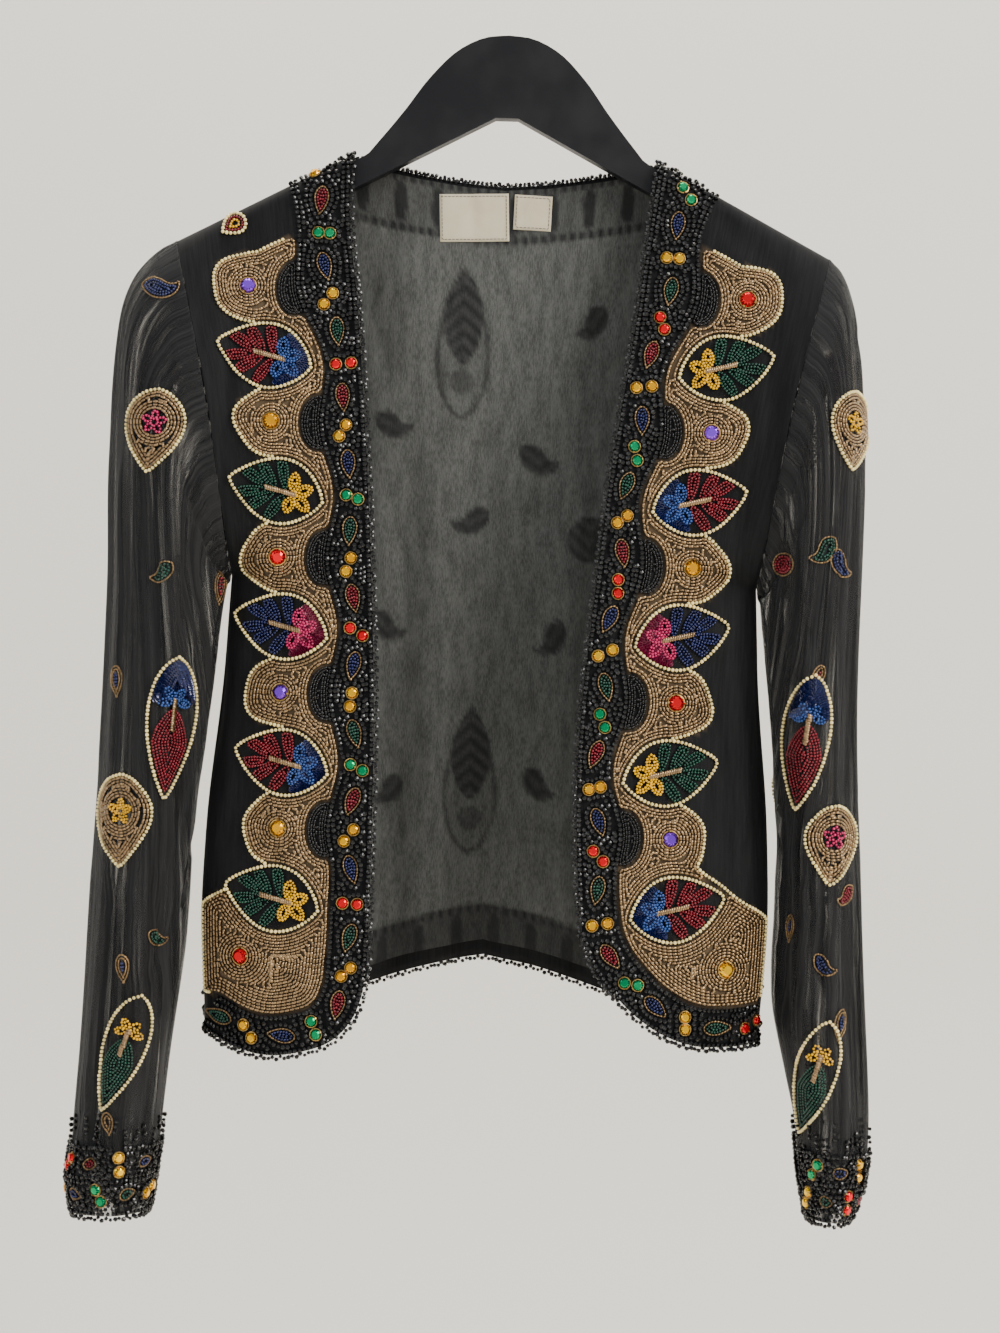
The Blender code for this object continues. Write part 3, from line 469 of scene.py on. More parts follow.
def creased_sleeve(points, side, waves):
    """The creased sleeve, opened at the inner line, and a mark of painted shade in troughs, full at the lined
    armhole.
    """
    rows, around = points.shape[:2]
    turn = np.arange(around)[None, :] / around + np.zeros((rows, 1))
    if side == "right":
        turn = 1 - turn
    down = np.linspace(0, 1, rows)[:, None] + np.zeros((1, around))
    out = crumple(turn, down, waves)
    felt = np.zeros_like(out)
    for turn0, down0, turn1, down1, width, depth in SLEEVE_CREASES[side]:
        for lap in (-1, 0, 1):
            start, end = (turn0 + lap, down0 * SLEEVE_SLENDER), (turn1 + lap, down1 * SLEEVE_SLENDER)
            here = trough(turn, down * SLEEVE_SLENDER, start, end, width, 0.35)
            out += depth * MM * here
            # painted shade: the troughs of creases are marked, to be drawn denser and darker on the sheer
            # sleeve
            felt += here * (depth < 0)
    room = ease(down / 0.06) * ease((1 - down) / 0.10) * (1 - 0.85 * calm_under(points, side))
    creased = points + normals_of(points, True) * (out * room)[..., None]
    # near the armhole the mark stands for the lining that lies under the sleeve there
    felt = np.maximum(felt, ease((0.11 - down) / 0.06))
    half_way = -(around // 2)
    return np.roll(creased, half_way, 1), np.roll(np.clip(felt, 0, 1), half_way, 1)


SLEEVE_SLENDER = 2.2
SLEEVE_WAVES = ((9, 0.6, 1.2, 0.45), (15, -0.9, 2.1, 0.32), (23, 1.3, 0.7, 0.22), (31, 0.5, 2.6, 0.14))
FRONT_WAVES = ((2.3, 0.35, 0.9, 0.35), (4.1, -0.5, 1.7, 0.22), (6.7, 0.8, 2.3, 0.12))
BACK_WAVES = ((1.9, 0.3, 1.3, 0.5), (3.7, -0.45, 2.2, 0.3), (6.1, 0.7, 0.6, 0.18), (9.3, -0.6, 1.9, 0.10))

fronts = {side: creased_body(front_grid(side), FRONT_CREASES[side], SIDES[side], FRONT_WAVES)
          for side in SIDES}
back = creased_body(back_grid(), BACK_CREASES, 1, BACK_WAVES)
sleeves, sleeve_crease_shade = {}, {}
for side in SIDES:
    sleeves[side], sleeve_crease_shade[side] = creased_sleeve(sleeve_grid(side), side, SLEEVE_WAVES)
print("cloth grids:", {side: grid.shape[:2] for side, grid in sleeves.items()}, back.shape[:2])

# %% [markdown]
# A grid becomes cloth when it gets faces, a thin wall and a map. The wall is a Solidify modifier. The
# map is a UV map laid out in real metres, measured along the cloth, so a crinkle drawn on it keeps
# its size and runs down the cloth wherever the cloth goes. Object coordinates would be simpler, but
# they would smear the crinkle across the sides, where the cloth turns away.

# %% Cloth from a grid
CLOTH_WALL = 0.4 * MM


def ring_closed(points, closed=True):
    """The grid with its first column again at its end."""
    return np.concatenate([points, points[:, :1]], 1) if closed else points


def grid_faces(rows, columns, closed=False):
    faces = []
    for i in range(rows - 1):
        for j in range(columns if closed else columns - 1):
            a, b = i * columns + j, i * columns + (j + 1) % columns
            faces.append((a, a + columns, b + columns, b))
    return faces


def add_piece(name, mesh):
    piece = bpy.data.objects.new(name, mesh)
    bpy.context.scene.collection.objects.link(piece)
    return piece


# what points can carry: the way up, a turn, a colour, a size and a shade
MARKS = {"lay": ("FLOAT_VECTOR", "vector"), "spin": ("FLOAT_VECTOR", "vector"),
         "hue": ("FLOAT_COLOR", "color"), "size": ("FLOAT", "value"), "shade": ("FLOAT", "value")}


def mark(mesh, name, values):
    kind, key = MARKS[name]
    made = mesh.attributes.new(name, kind, "POINT")
    made.data.foreach_set(key, np.asarray(values, np.float32).ravel())


def cloth(name, points, closed=False, shade=None, wall=CLOTH_WALL):
    """A sheet of cloth through a grid of points, with a map in metres and a shade at each point."""
    rows, columns = points.shape[:2]
    mesh = bpy.data.meshes.new(name)
    mesh.from_pydata(points.reshape(-1, 3).tolist(), [], grid_faces(rows, columns, closed))
    mesh.shade_smooth()
    ring = ring_closed(points, closed)
    across = np.concatenate([np.zeros((rows, 1)),
                             np.cumsum(np.linalg.norm(np.diff(ring, axis=1), axis=2), 1)], 1)
    across -= across[:, -1:] / 2
    down = np.r_[0, np.cumsum(np.linalg.norm(np.diff(points, axis=0), axis=2).mean(1))]
    i, j = np.meshgrid(np.arange(rows - 1), np.arange(ring.shape[1] - 1), indexing="ij")
    corners = [(i, j), (i + 1, j), (i + 1, j + 1), (i, j + 1)]
    uv = np.stack([np.stack([across[r, c], -down[r]], -1) for r, c in corners], 2)
    layer = mesh.uv_layers.new(name="UVMap")
    layer.data.foreach_set("uv", uv.astype(np.float32).ravel())
    if shade is not None:
        mark(mesh, "shade", shade)
    piece = add_piece(name, mesh)
    if wall:
        thick = piece.modifiers.new("thin wall", "SOLIDIFY")
        thick.thickness, thick.offset = wall, -1
    return piece


def cut_of(points, closed=False):
    """The widest row, the longest column and the area of a cloth, in metres."""
    ring = ring_closed(points, closed)
    across, along = np.diff(ring, axis=1), np.diff(ring, axis=0)
    area = np.linalg.norm(np.cross(across[:-1], along[:, :-1]), axis=2).sum()
    return (float(np.linalg.norm(across, axis=2).sum(1).max()),
            float(np.linalg.norm(along, axis=2).sum(0).max()), float(area))


pieces = {"back": cloth("back_cloth", back)}
for side in SIDES:
    pieces[f"{side}_front"] = cloth(f"{side}_front_cloth", fronts[side])
    pieces[f"{side}_sleeve"] = cloth(f"{side}_sleeve_cloth", sleeves[side], True, sleeve_crease_shade[side])
print("cloth pieces:", sorted(pieces))

# %% [markdown]
# Every bead on this jacket sits on a thread. So one Geometry Nodes tree sews them all: it takes
# lines as edges, spaces points along them, and sets a bead at each point, lying along the thread
# and standing on the cloth. Each line carries two attributes: `lay`, the way up from the cloth, and
# `hue`, the colour of the glass. Array and Curve modifiers could do one thread; this does thousands.

# %% Small helpers for wiring nodes


def node(tree, kind, inputs=(), **settings):
    """Adds a node, sets it up, and wires or fills its inputs, given as (socket, value or output)."""
    made = tree.nodes.new(kind)
    for key, value in settings.items():
        setattr(made, key, value)
    for socket, value in inputs:
        if isinstance(value, bpy.types.NodeSocket):
            tree.links.new(value, made.inputs[socket])
        else:
            made.inputs[socket].default_value = value
    return made


def math_node(tree, operation, first, second):
    return node(tree, "ShaderNodeMath", [(0, first), (1, second)], operation=operation).outputs[0]


def scaled(tree, vector, by):
    return node(tree, "ShaderNodeVectorMath", [(0, vector), ("Scale", by)], operation="SCALE").outputs[0]


def new_tree(name, **sockets):
    """An empty Geometry Nodes tree with named inputs; its inputs, and its end node."""
    tree = bpy.data.node_groups.new(name, "GeometryNodeTree")
    tree.is_modifier = True
    for label, kind in sockets.items():
        tree.interface.new_socket(label, in_out="INPUT", socket_type="NodeSocket" + kind)
    tree.interface.new_socket("Geometry", in_out="OUTPUT", socket_type="NodeSocketGeometry")
    return tree, tree.nodes.new("NodeGroupInput").outputs, tree.nodes.new("NodeGroupOutput")


def carried(tree, name, kind):
    """A value that each line or point brings with it."""
    found = node(tree, "GeometryNodeInputNamedAttribute", [("Name", name)], data_type=kind)
    return found.outputs["Attribute"]


def at_random(tree, given, low, high):
    return node(tree, "FunctionNodeRandomValue", [(2, low), (3, high), ("Seed", given["Seed"])],
                data_type="FLOAT").outputs[1]


def standing(tree, up, along):
    """The turn that stands a bead up from the cloth and lays it along its thread."""
    return node(tree, "FunctionNodeAxesToRotation", [(0, up), (1, along)],
                primary_axis="Z", secondary_axis="X").outputs[0]


# %% The tree that sews beads along threads


def set_with_tone(tree, given, made, points, facing, scale):
    """Sets the bead at each point, keeps its colour as `tone`, and makes the result real."""
    bead = node(tree, "GeometryNodeObjectInfo", [("Object", given["Bead"])]).outputs["Geometry"]
    placed = node(tree, "GeometryNodeInstanceOnPoints",
                  [("Points", points), ("Instance", bead), ("Rotation", facing), ("Scale", scale)])
    tone = scaled(tree, carried(tree, "hue", "FLOAT_COLOR"), at_random(tree, given, *TONE_RANGE))
    kept = node(tree, "GeometryNodeStoreNamedAttribute",
                [("Geometry", placed.outputs[0]), ("Name", "tone"), ("Value", tone)],
                data_type="FLOAT_COLOR", domain="INSTANCE")
    real = node(tree, "GeometryNodeRealizeInstances", [("Geometry", kept.outputs[0])])
    done = node(tree, "GeometryNodeSetMaterial",
                [("Geometry", real.outputs[0]), ("Material", given["Finish"])])
    tree.links.new(done.outputs[0], made.inputs[0])
    return tree


def thread_tree():
    tree, given, made = new_tree("bead rows", Threads="Geometry", Bead="Object", Pitch="Float",
                                 Spread="Float", Sway="Float", Seed="Int", Finish="Material")
    curve = node(tree, "GeometryNodeMeshToCurve", [(0, given["Threads"])]).outputs[0]
    even = node(tree, "GeometryNodeResampleCurve", [("Curve", curve), ("Length", given["Pitch"])],
                mode="LENGTH").outputs[0]
    along = node(tree, "GeometryNodeInputTangent").outputs[0]
    facing = standing(tree, carried(tree, "lay", "FLOAT_VECTOR"), along)
    sway = at_random(tree, given, math_node(tree, "MULTIPLY", given["Sway"], -1.0), given["Sway"])
    turn = node(tree, "ShaderNodeCombineXYZ", [("Z", sway)]).outputs[0]
    swayed = node(tree, "FunctionNodeRotateRotation", [(0, facing), (1, turn)], rotation_space="LOCAL")
    least, most = (math_node(tree, way, 1.0, given["Spread"]) for way in ("SUBTRACT", "ADD"))
    size = at_random(tree, given, least, most)
    return set_with_tone(tree, given, made, even, swayed.outputs[0], size)


TONE_RANGE = (0.76, 1.2)
THREADS = thread_tree()
print("bead tree:", len(THREADS.nodes), "nodes")

# %% Running a tree on a mesh of lines or points


def grown(name, mesh, tree, bead, **values):
    """Runs a Geometry Nodes tree on a mesh and keeps the result as a plain piece."""
    start, objects = add_piece(name + "_start", mesh), bpy.context.scene.collection.objects
    objects.link(bead)
    values["Bead"] = bead
    run = start.modifiers.new("sewing", "NODES")
    run.node_group = tree
    for item in tree.interface.items_tree:
        if item.in_out == "INPUT" and item.name in values:
            run[item.identifier] = values[item.name]
    bpy.context.view_layer.update()
    depsgraph = bpy.context.evaluated_depsgraph_get()
    plain = bpy.data.meshes.new_from_object(start.evaluated_get(depsgraph))
    bpy.data.objects.remove(start)
    objects.unlink(bead)
    for spare in MARKS:
        if spare in plain.attributes:
            plain.attributes.remove(plain.attributes[spare])
    plain.name = name
    return add_piece(name, plain)


def marked_mesh(name, spots, edges, hue, **marks):
    """Spots and edges, with a colour and other values at each spot."""
    mesh = bpy.data.meshes.new(name)
    mesh.from_pydata(np.asarray(spots).tolist(), edges, [])
    mark(mesh, "hue", np.insert(np.asarray(hue, float), 3, 1.0, 1))
    for key, values in marks.items():
        mark(mesh, key, values)
    return mesh


def thread_mesh(name, threads):
    """All the threads of one piece as one mesh of edges."""
    edges, start = [], 0
    for points, _, _ in threads:
        edges += [(start + k, start + k + 1) for k in range(len(points) - 1)]
        start += len(points)
    spots, up, hue = (np.vstack(column) for column in zip(*threads))
    return marked_mesh(name, spots, edges, hue, lay=up)


# %% [markdown]
# The beads themselves are tiny, and there are tens of thousands of them, so each has only one or
# two dozen faces. Tubes lie along their thread. Their undersides are at height zero, so that a bead set
# on the cloth rests on it instead of sinking to its middle.

# %% The beads, as templates
WHITE = (1.0, 1.0, 1.0)


def template(name, shape, smooth=True):
    bmesh.ops.recalc_face_normals(shape, faces=shape.faces)
    mesh = bpy.data.meshes.new(name)
    shape.to_mesh(mesh)
    shape.free()
    (mesh.shade_smooth if smooth else mesh.shade_flat)()
    return bpy.data.objects.new(name, mesh)


def level_ring(shape, sides, radius, height, shift=0.0):
    angles = [2 * math.pi * (k + shift) / sides for k in range(sides)]
    return [shape.verts.new((radius * math.cos(a), radius * math.sin(a), height)) for a in angles]


def walls(shape, rings):
    """Faces between each ring and the next."""
    for first, second in zip(rings[:-1], rings[1:]):
        for k in range(len(first)):
            shape.faces.new((first[k], first[k - 1], second[k - 1], second[k]))


def tube_bead(name, length, radius, sides):
    shape = bmesh.new()
    angles = [2 * math.pi * (k + 0.5) / sides for k in range(sides)]
    walls(shape, [[shape.verts.new((x * length, r * radius * math.sin(a), radius * (1 + r * math.cos(a))))
                   for a in angles] for x, r in ((-0.5, 0.55), (-0.44, 1.0), (0.44, 1.0), (0.5, 0.55))])
    return template(name, shape)


def round_bead(name, radius, segments, rings, flat=1.0, smooth=True):
    shape = bmesh.new()
    bmesh.ops.create_uvsphere(shape, u_segments=segments, v_segments=rings, radius=radius)
    for vert in shape.verts:
        vert.co.z = vert.co.z * flat + radius * flat
    return template(name, shape, smooth)


def sequin(name, radius, tilt, sides):
    """A thin cup lying tilted on its thread, so that each covers part of the one before."""
    shape = bmesh.new()
    middle = [shape.verts.new((0, 0, z)) for z in (0.0, -0.16 * MM)]
    rims = [level_ring(shape, sides, radius, z) for z in (0.45 * MM, 0.3 * MM)]
    for k in range(sides):
        shape.faces.new((middle[0], rims[0][k - 1], rims[0][k]))
        shape.faces.new((middle[1], rims[1][k], rims[1][k - 1]))
        shape.faces.new((rims[0][k - 1], rims[1][k - 1], rims[1][k], rims[0][k]))
    bmesh.ops.rotate(shape, verts=shape.verts, matrix=Matrix.Rotation(tilt, 3, "Y"))
    bmesh.ops.translate(shape, verts=shape.verts, vec=(0, 0, radius * abs(math.sin(tilt)) + 0.2 * MM))
    return template(name, shape, False)


# kind of bead: template, pitch along the thread, spread of size, sway in radians
BEADS = {
    "gold_tubes": (tube_bead("gold_tube", 3.1 * MM, 0.92 * MM, 5), 3.25 * MM, 0.06, 0.06),
    "fine_gold": (tube_bead("fine_gold_tube", 2.0 * MM, 0.6 * MM, 4), 2.05 * MM, 0.05, 0.08),
    "pearls": (round_bead("pearl", 1.22 * MM, 6, 4), 2.5 * MM, 0.06, 0.2),
    "jet_beads": (round_bead("jet_bead", 1.58 * MM, 5, 3, 0.9, False), 3.0 * MM, 0.16, 0.9),
    "jet_tubes": (tube_bead("jet_tube", 2.5 * MM, 0.74 * MM, 4), 2.6 * MM, 0.08, 0.1),
    "seeds": (round_bead("seed_bead", 1.0 * MM, 5, 3, 0.95), 1.88 * MM, 0.08, 0.3),
    "sequins": (sequin("sequin", 1.8 * MM, math.radians(-28), 7), 1.5 * MM, 0.06, 0.12),
}
print("bead faces:", {kind: len(row[0].data.polygons) for kind, row in BEADS.items()})

# %% [markdown]
# Bead workers fill a shape with rows that echo its edge, each row inside the last. Written as
# numbers, that is a map of how deep inside the shape each spot lies: the rows are the map's
# contour lines. A hole, such as the room for a stone, only has to lower the map around it, and the
# rows flow round it by themselves.

# %% How deep a spot lies inside an outline


def inside_by(outline, x, z):
    """Distance from each spot to an outline in mm, positive inside it."""
    nearest = np.full(x.shape, 1e9)
    odd = np.zeros(x.shape, bool)
    for (x0, z0), (x1, z1) in zip(outline, np.roll(outline, -1, 0)):
        dx, dz = x1 - x0, z1 - z0
        t = np.clip(((x - x0) * dx + (z - z0) * dz) / max(dx * dx + dz * dz, 1e-12), 0, 1)
        nearest = np.minimum(nearest, np.hypot(x - x0 - t * dx, z - z0 - t * dz))
        if abs(dz) > 1e-12:
            odd ^= ((z0 > z) != (z1 > z)) & (x < x0 + dx * (z - z0) / dz)
    return np.where(odd, nearest, -nearest)


# how far apart the spots of a thread are, in mm
SPOT_STEP = 1.1
# which two sides of a square a contour crosses, by which corners are inside
CROSSINGS = {1: ((0, 3),), 2: ((0, 1),), 3: ((1, 3),), 4: ((1, 2),), 5: ((0, 3), (1, 2)), 6: ((0, 2),),
             7: ((2, 3),), 8: ((2, 3),), 9: ((0, 2),), 10: ((0, 1), (2, 3)), 11: ((1, 2),),
             12: ((1, 3),), 13: ((0, 1),), 14: ((0, 3),)}


class Ground:
    """Flat cloth as a fine grid of spots, and how deep inside a drawn shape each spot lies, in mm."""

    def __init__(self, low, high, step=1.0):
        self.step, self.low = step, np.array(low, float)
        self.x, self.z = np.meshgrid(np.arange(low[0], high[0], step), np.arange(low[1], high[1], step))
        self.depth = np.full(self.x.shape, -1e3)

    def window(self, outline, margin=14.0):
        """The part of the grid round an outline."""
        (x0, z0), (x1, z1) = outline.min(0) - margin, outline.max(0) + margin
        i0, i1 = (int((z - self.low[1]) / self.step) for z in (z0, z1))
        j0, j1 = (int((x - self.low[0]) / self.step) for x in (x0, x1))
        return slice(max(i0, 0), max(i1, 0)), slice(max(j0, 0), max(j1, 0))

    def add(self, outline, margin=1e4):
        at = self.window(outline, margin)
        found = inside_by(outline, self.x[at], self.z[at])
        self.depth[at] = np.maximum(self.depth[at], found)
        return self

    def keep(self, outline, room=0.0):
        self.depth = np.minimum(self.depth, inside_by(outline, self.x, self.z) - room)
        return self

    def cut(self, outline, room=0.0):
        at = self.window(outline)
        found = inside_by(outline, self.x[at], self.z[at])
        self.depth[at] = np.minimum(self.depth[at], -found - room)
        return self

    def line(self, level):
        """The contour lines at one depth, each as a run of spots."""
        f = self.depth - level
        width = f.shape[1]
        inside = f > 0
        code = inside[:-1, :-1] + 2 * inside[:-1, 1:] + 4 * inside[1:, 1:] + 8 * inside[1:, :-1]
        spots, links = {}, {}
        for i, j in zip(*np.nonzero((code > 0) & (code < 15))):
            sides = ((i, j, 0), (i, j + 1, 1), (i + 1, j, 0), (i, j, 1))
            for pair in CROSSINGS[int(code[i, j])]:
                keys = []
                for r, c, upright in (sides[pair[0]], sides[pair[1]]):
                    key = (r * width + c) * 2 + upright
                    if key not in spots:
                        other = f[r + 1, c] if upright else f[r, c + 1]
                        t = f[r, c] / (f[r, c] - other)
                        spots[key] = (c + (0 if upright else t), r + (t if upright else 0))
                    keys.append(key)
                links.setdefault(keys[0], []).append(keys[1])
                links.setdefault(keys[1], []).append(keys[0])
        lines, used = [], set()
        for start in sorted(links, key=lambda key: (len(links[key]), key)):
            if start in used:
                continue
            run, key = [], start
            while key is not None:
                used.add(key)
                run.append(spots[key])
                key = next((k for k in links[key] if k not in used), None)
            if len(links[start]) == 2 and start in links[max(links[start])]:
                run.append(run[0])
            lines.append(np.array(run) * self.step + self.low)
        return lines

    def rows(self, first, step, shortest=4.0):
        """Echo rows: contour lines from the first depth inwards, and the number of each row."""
        level, number = first, 0
        while level < self.depth.max():
            for line in self.line(level):
                if len(line) > 2 and run_of(line)[-1] > shortest:
                    yield number, spaced(eased_line(line), SPOT_STEP)
            level, number = level + step, number + 1

    def at(self, x, z):
        """The depth at any spots, read from the nearest place of the grid."""
        i = np.clip(((z - self.low[1]) / self.step).round().astype(int), 0, self.x.shape[0] - 1)
        j = np.clip(((x - self.low[0]) / self.step).round().astype(int), 0, self.x.shape[1] - 1)
        return self.depth[i, j], i, j

    def ridges(self, first, step, shortest=3.5):
        """Rows down the middle of the gaps that are left where rows from two sides meet."""
        up, over = np.gradient(self.depth, self.step)
        level = first + 0.66 * step
        while level < self.depth.max():
            for line in self.line(level):
                _, i, j = self.at(line[:, 0], line[:, 1])
                here = (np.hypot(up, over)[i, j] < 0.8) & (0.83 * over[i, j] + 0.56 * up[i, j] > 0)
                for run in split_where(line, np.convolve(here, np.ones(5), "same") > 2):
                    if len(run) > 3 and run_of(run)[-1] > shortest:
                        yield spaced(eased_line(run), SPOT_STEP)
            level += step


def eased_line(line):
    """The line with its small steps smoothed away and its ends kept."""
    inner = (line[:-2] + 2 * line[1:-1] + line[2:]) / 4
    return np.vstack([line[:1], inner, line[-1:]])


def split_where(line, keep):
    """The runs of a line over which keep holds."""
    breaks = np.flatnonzero(np.diff(np.r_[0, keep.astype(int), 0]))
    return [line[a:b] for a, b in zip(breaks[::2], breaks[1::2]) if b - a > 1]


ring = np.stack([20 * np.cos(np.linspace(0, 6.28, 40)), 20 * np.sin(np.linspace(0, 6.28, 40))], 1)
print("rows in a 40 mm round:", len(list(Ground((-25, -25), (25, 25)).add(ring).rows(1, 2))))

# %% [markdown]
# Patterns are drawn flat, in millimetres, and then laid on the cloth. On the fronts and the back a
# spot is found by a straight look at the cloth from outside. On the sleeves, which are round, each
# motif has its own flat patch that touches the cloth at the motif's middle, and the cuffs are
# measured round the wrist. Each way gives the spot, and which way is up from the cloth there.

# %% From flat patterns to the cloth
threads = {}
stones = {}
BEAD_LIFT = 0.1 * MM
# how far from the cloth's middle a straight look at it starts
LOOK_FROM = 0.3


def counts(table):
    return {name: len(rows) for name, rows in table.items()}


def tree_of(points, closed=False):
    return BVHTree.FromPolygons(points.reshape(-1, 3).tolist(), grid_faces(*points.shape[:2], closed))


def cast(tree, starts, way):
    """Where straight looks meet the cloth, the normals there, and which looks meet it at all."""
    spots, normals, met = np.zeros((len(starts), 3)), np.zeros((len(starts), 3)), np.zeros(len(starts), bool)
    way = Vector(way)
    for k, start in enumerate(starts):
        hit, normal, _, _ = tree.ray_cast(Vector(start), way)
        if hit is not None:
            normal = -normal if normal.dot(way) > 0 else normal
            spots[k], normals[k], met[k] = hit, normal, True
    return spots, normals, met


def flat_place(tree, sign, toward):
    """Lays (distance, height) in mm straight onto a front, or with toward -1 onto the back."""
    def place(spots):
        far = np.full(len(spots), -LOOK_FROM * toward)
        starts = np.stack([sign * spots[:, 0] * MM, far, spots[:, 1] * MM], 1)
        return cast(tree, starts, (0, toward, 0))
    return place


def patch_place(tree, points, x, z, toward=1, lean=0.0):
    """Lays (across, up) in mm round one spot of a sleeve, from the side that the cloth faces there."""
    middle, _, _ = cast(tree, [(x * MM, -LOOK_FROM * toward, z * MM)], (0, toward, 0))
    level = np.abs(points[..., 2] - z * MM) < 12 * MM
    out = Vector(middle[0] - points[level].mean(0))
    out.z = 0
    out.x *= 0.6
    out.normalize()
    up = (Vector((0, 0, 1)) - out * out.z).normalized()
    across = up.cross(out)
    c, s = math.cos(lean), math.sin(lean)
    up, across = up * c + across * s, across * c - up * s
    frame_of = np.array([across, up, out])

    def place(spots):
        flat = np.concatenate([spots * MM, np.full((len(spots), 1), 0.04)], 1)
        return cast(tree, middle[0] + flat @ frame_of, -out)
    return place


def ring_place(points):
    """Lays (distance round, height above the edge) in mm onto the end of a sleeve."""
    rows, around = points.shape[:2]
    ring, normal = ring_closed(points), ring_closed(normals_of(points, True))
    girth = np.linalg.norm(np.diff(ring[-12], axis=0), axis=1).sum() / MM
    climb = np.linalg.norm(np.diff(points, axis=0), axis=2).mean(1)[::-1].cumsum() / MM

    def place(spots):
        row = rows - 1 - np.interp(spots[:, 1], np.r_[0, climb], np.arange(rows))
        column = np.clip(spots[:, 0] / girth, 0, 1) * around
        i, j = np.minimum(row.astype(int), rows - 2), np.minimum(column.astype(int), around - 1)
        s, t = (row - i)[:, None], (column - j)[:, None]
        found = [(1 - s) * ((1 - t) * g[i, j] + t * g[i, j + 1])
                 + s * ((1 - t) * g[i + 1, j] + t * g[i + 1, j + 1]) for g in (ring, normal)]
        return found[0], unit(found[1]), np.ones(len(spots), bool)
    place.girth = girth
    return place


def sew(piece, line, place, colour=WHITE, lift=0.0):
    """Lays one flat line on the cloth as a thread of beads, for one piece."""
    line = np.asarray(line, float)
    if len(line) < 2:
        return
    spots, normals, met = place(line)
    met[1:] &= np.linalg.norm(np.diff(spots, axis=0), axis=1) < 0.02
    rows = np.concatenate([spots + normals * (BEAD_LIFT + lift * MM), normals], 1)
    for run in split_where(rows, met):
        hue = np.broadcast_to(np.asarray(colour, float), (len(run), 3))
        threads.setdefault(piece, []).append((run[:, :3], run[:, 3:], hue))


def set_stone(where, spot, place, radius, colour):
    """Marks the place of one cut stone, given by its girdle's radius in mm."""
    spots, normals, met = place(np.array([spot], float))
    if met[0]:
        seat = spots[0] + normals[0] * 0.9 * MM
        stones.setdefault(where, []).append((seat, normals[0], radius * MM, colour))


body_trees = {side: tree_of(fronts[side]) for side in SIDES}
back_tree = tree_of(back)
sleeve_trees = {side: tree_of(sleeves[side], True) for side in SIDES}
front_place = {side: flat_place(body_trees[side], SIDES[side], 1) for side in SIDES}
back_place = flat_place(back_tree, 1, -1)
cuff_place = {side: ring_place(sleeves[side]) for side in SIDES}
print("wrist girth in mm:", {side: round(cuff_place[side].girth) for side in SIDES})

# %% [markdown]
# The border is planned on the same few numbers as its solid: a wavy black band along the opening
# edge, then gold, with round lobes and pointed leaves in turn at one even step.

# %% Sizes and colours of the border, in millimetres
BAND_WIDTH, BAND_WAVE, BAND_TOP_EXTRA = 24, 4, 13
UNIT_PITCH, FIRST_LOBE_Z, UNIT_COUNT = 84, -112, 5
STRIP_WIDTH, LOBE_REACH, LOBE_RADIUS = 33, 30, 22
LEAF_LENGTH, LEAF_WIDTH, LEAF_ROOT, LEAF_DROP, LEAF_TILT = 60, 40, 8, 8, math.radians(14)
CORNER_TOP_Z, CORNER_SWEEP = -452, 72
BACK_BAND, NECK_BAND = 33, 37
GOLD_STEP, JET_STEP = 1.9, 3.0

COLOURS = {
    "red": (0.20, 0.003, 0.012), "green": (0.002, 0.050, 0.028), "navy": (0.006, 0.011, 0.080),
    "yellow": (0.86, 0.46, 0.004), "blue": (0.022, 0.075, 0.28), "pink": (0.56, 0.016, 0.11),
    "bronze": (0.35, 0.225, 0.110),
}
STONE_COLOURS = {"purple": (0.20, 0.05, 0.62), "yellow": (0.95, 0.40, 0.0), "red": (0.80, 0.003, 0.010),
                 "green": (0.0, 0.26, 0.09)}
LEAF_COLOURS = {
    "right": (("red", "blue"), ("green", "yellow"), ("navy", "pink"), ("red", "blue"), ("green", "yellow")),
    "left": (("green", "yellow"), ("red", "blue"), ("navy", "pink"), ("green", "yellow"), ("red", "blue")),
}
LOBE_STONES = {"right": ("purple", "yellow", "red"), "left": ("red", "purple", "yellow")}

# %% The lines that the border follows


def inset(line, width):
    """The line moved toward the cloth's inside."""
    step = unit(np.gradient(line, axis=0))
    return line + np.stack([-step[:, 1], step[:, 0]], 1) * np.reshape(width, (-1, 1))


def border_edge(side):
    """The opening edge and the hem of a front as one line of (distance, height)."""
    edge = [(x, z) for z, x in FRONT_EDGE[side]]
    return smooth_line(edge + list(FRONT_HEM[side][1:]), 4)


def band_inner(side):
    """Where the black band meets the gold."""
    line = border_edge(side)
    wave = np.cos(2 * math.pi * (line[:, 1] - FIRST_LOBE_Z) / UNIT_PITCH)
    straight = 1 - ease((-line[:, 1] - 440) / 60)
    at_top = 1 - ease((-line[:, 1] - 60) / 130)
    return inset(line, BAND_WIDTH + BAND_WAVE * wave * straight + BAND_TOP_EXTRA * at_top)


def roots_at(inner, heights):
    """How far out the band's inner line lies at each height, down to the hem's corner."""
    above_corner = inner[: int(np.argmin(inner[:, 1]))]
    order = np.argsort(above_corner[:, 1])
    return np.interp(heights, above_corner[order, 1], above_corner[order, 0])


def unit_places(side):
    """Where each lobe and each leaf has its root on the band."""
    heights = FIRST_LOBE_Z - UNIT_PITCH / 2 * np.arange(2 * UNIT_COUNT)
    spots = list(zip(roots_at(band_inner(side), heights), heights))
    return spots[0::2], spots[1::2]


def turned(spots, lean):
    c, s = math.cos(lean), math.sin(lean)
    return np.asarray(spots, float) @ np.array([[c, s], [-s, c]])


def both_sides(along, half):
    """A closed outline from half its width at each spot along it."""
    return np.concatenate([np.stack([along, half], 1), np.stack([along, -half], 1)[-2:0:-1]])


def leaf_outline(root):
    """A pointed leaf growing up and out from its root."""
    t = np.linspace(0, 1, 30)
    half = LEAF_WIDTH / 2 * np.sin(math.pi * t) ** 0.75 * (1.18 - 0.36 * t)
    return leaf_spots(root, both_sides(LEAF_LENGTH * t, half))


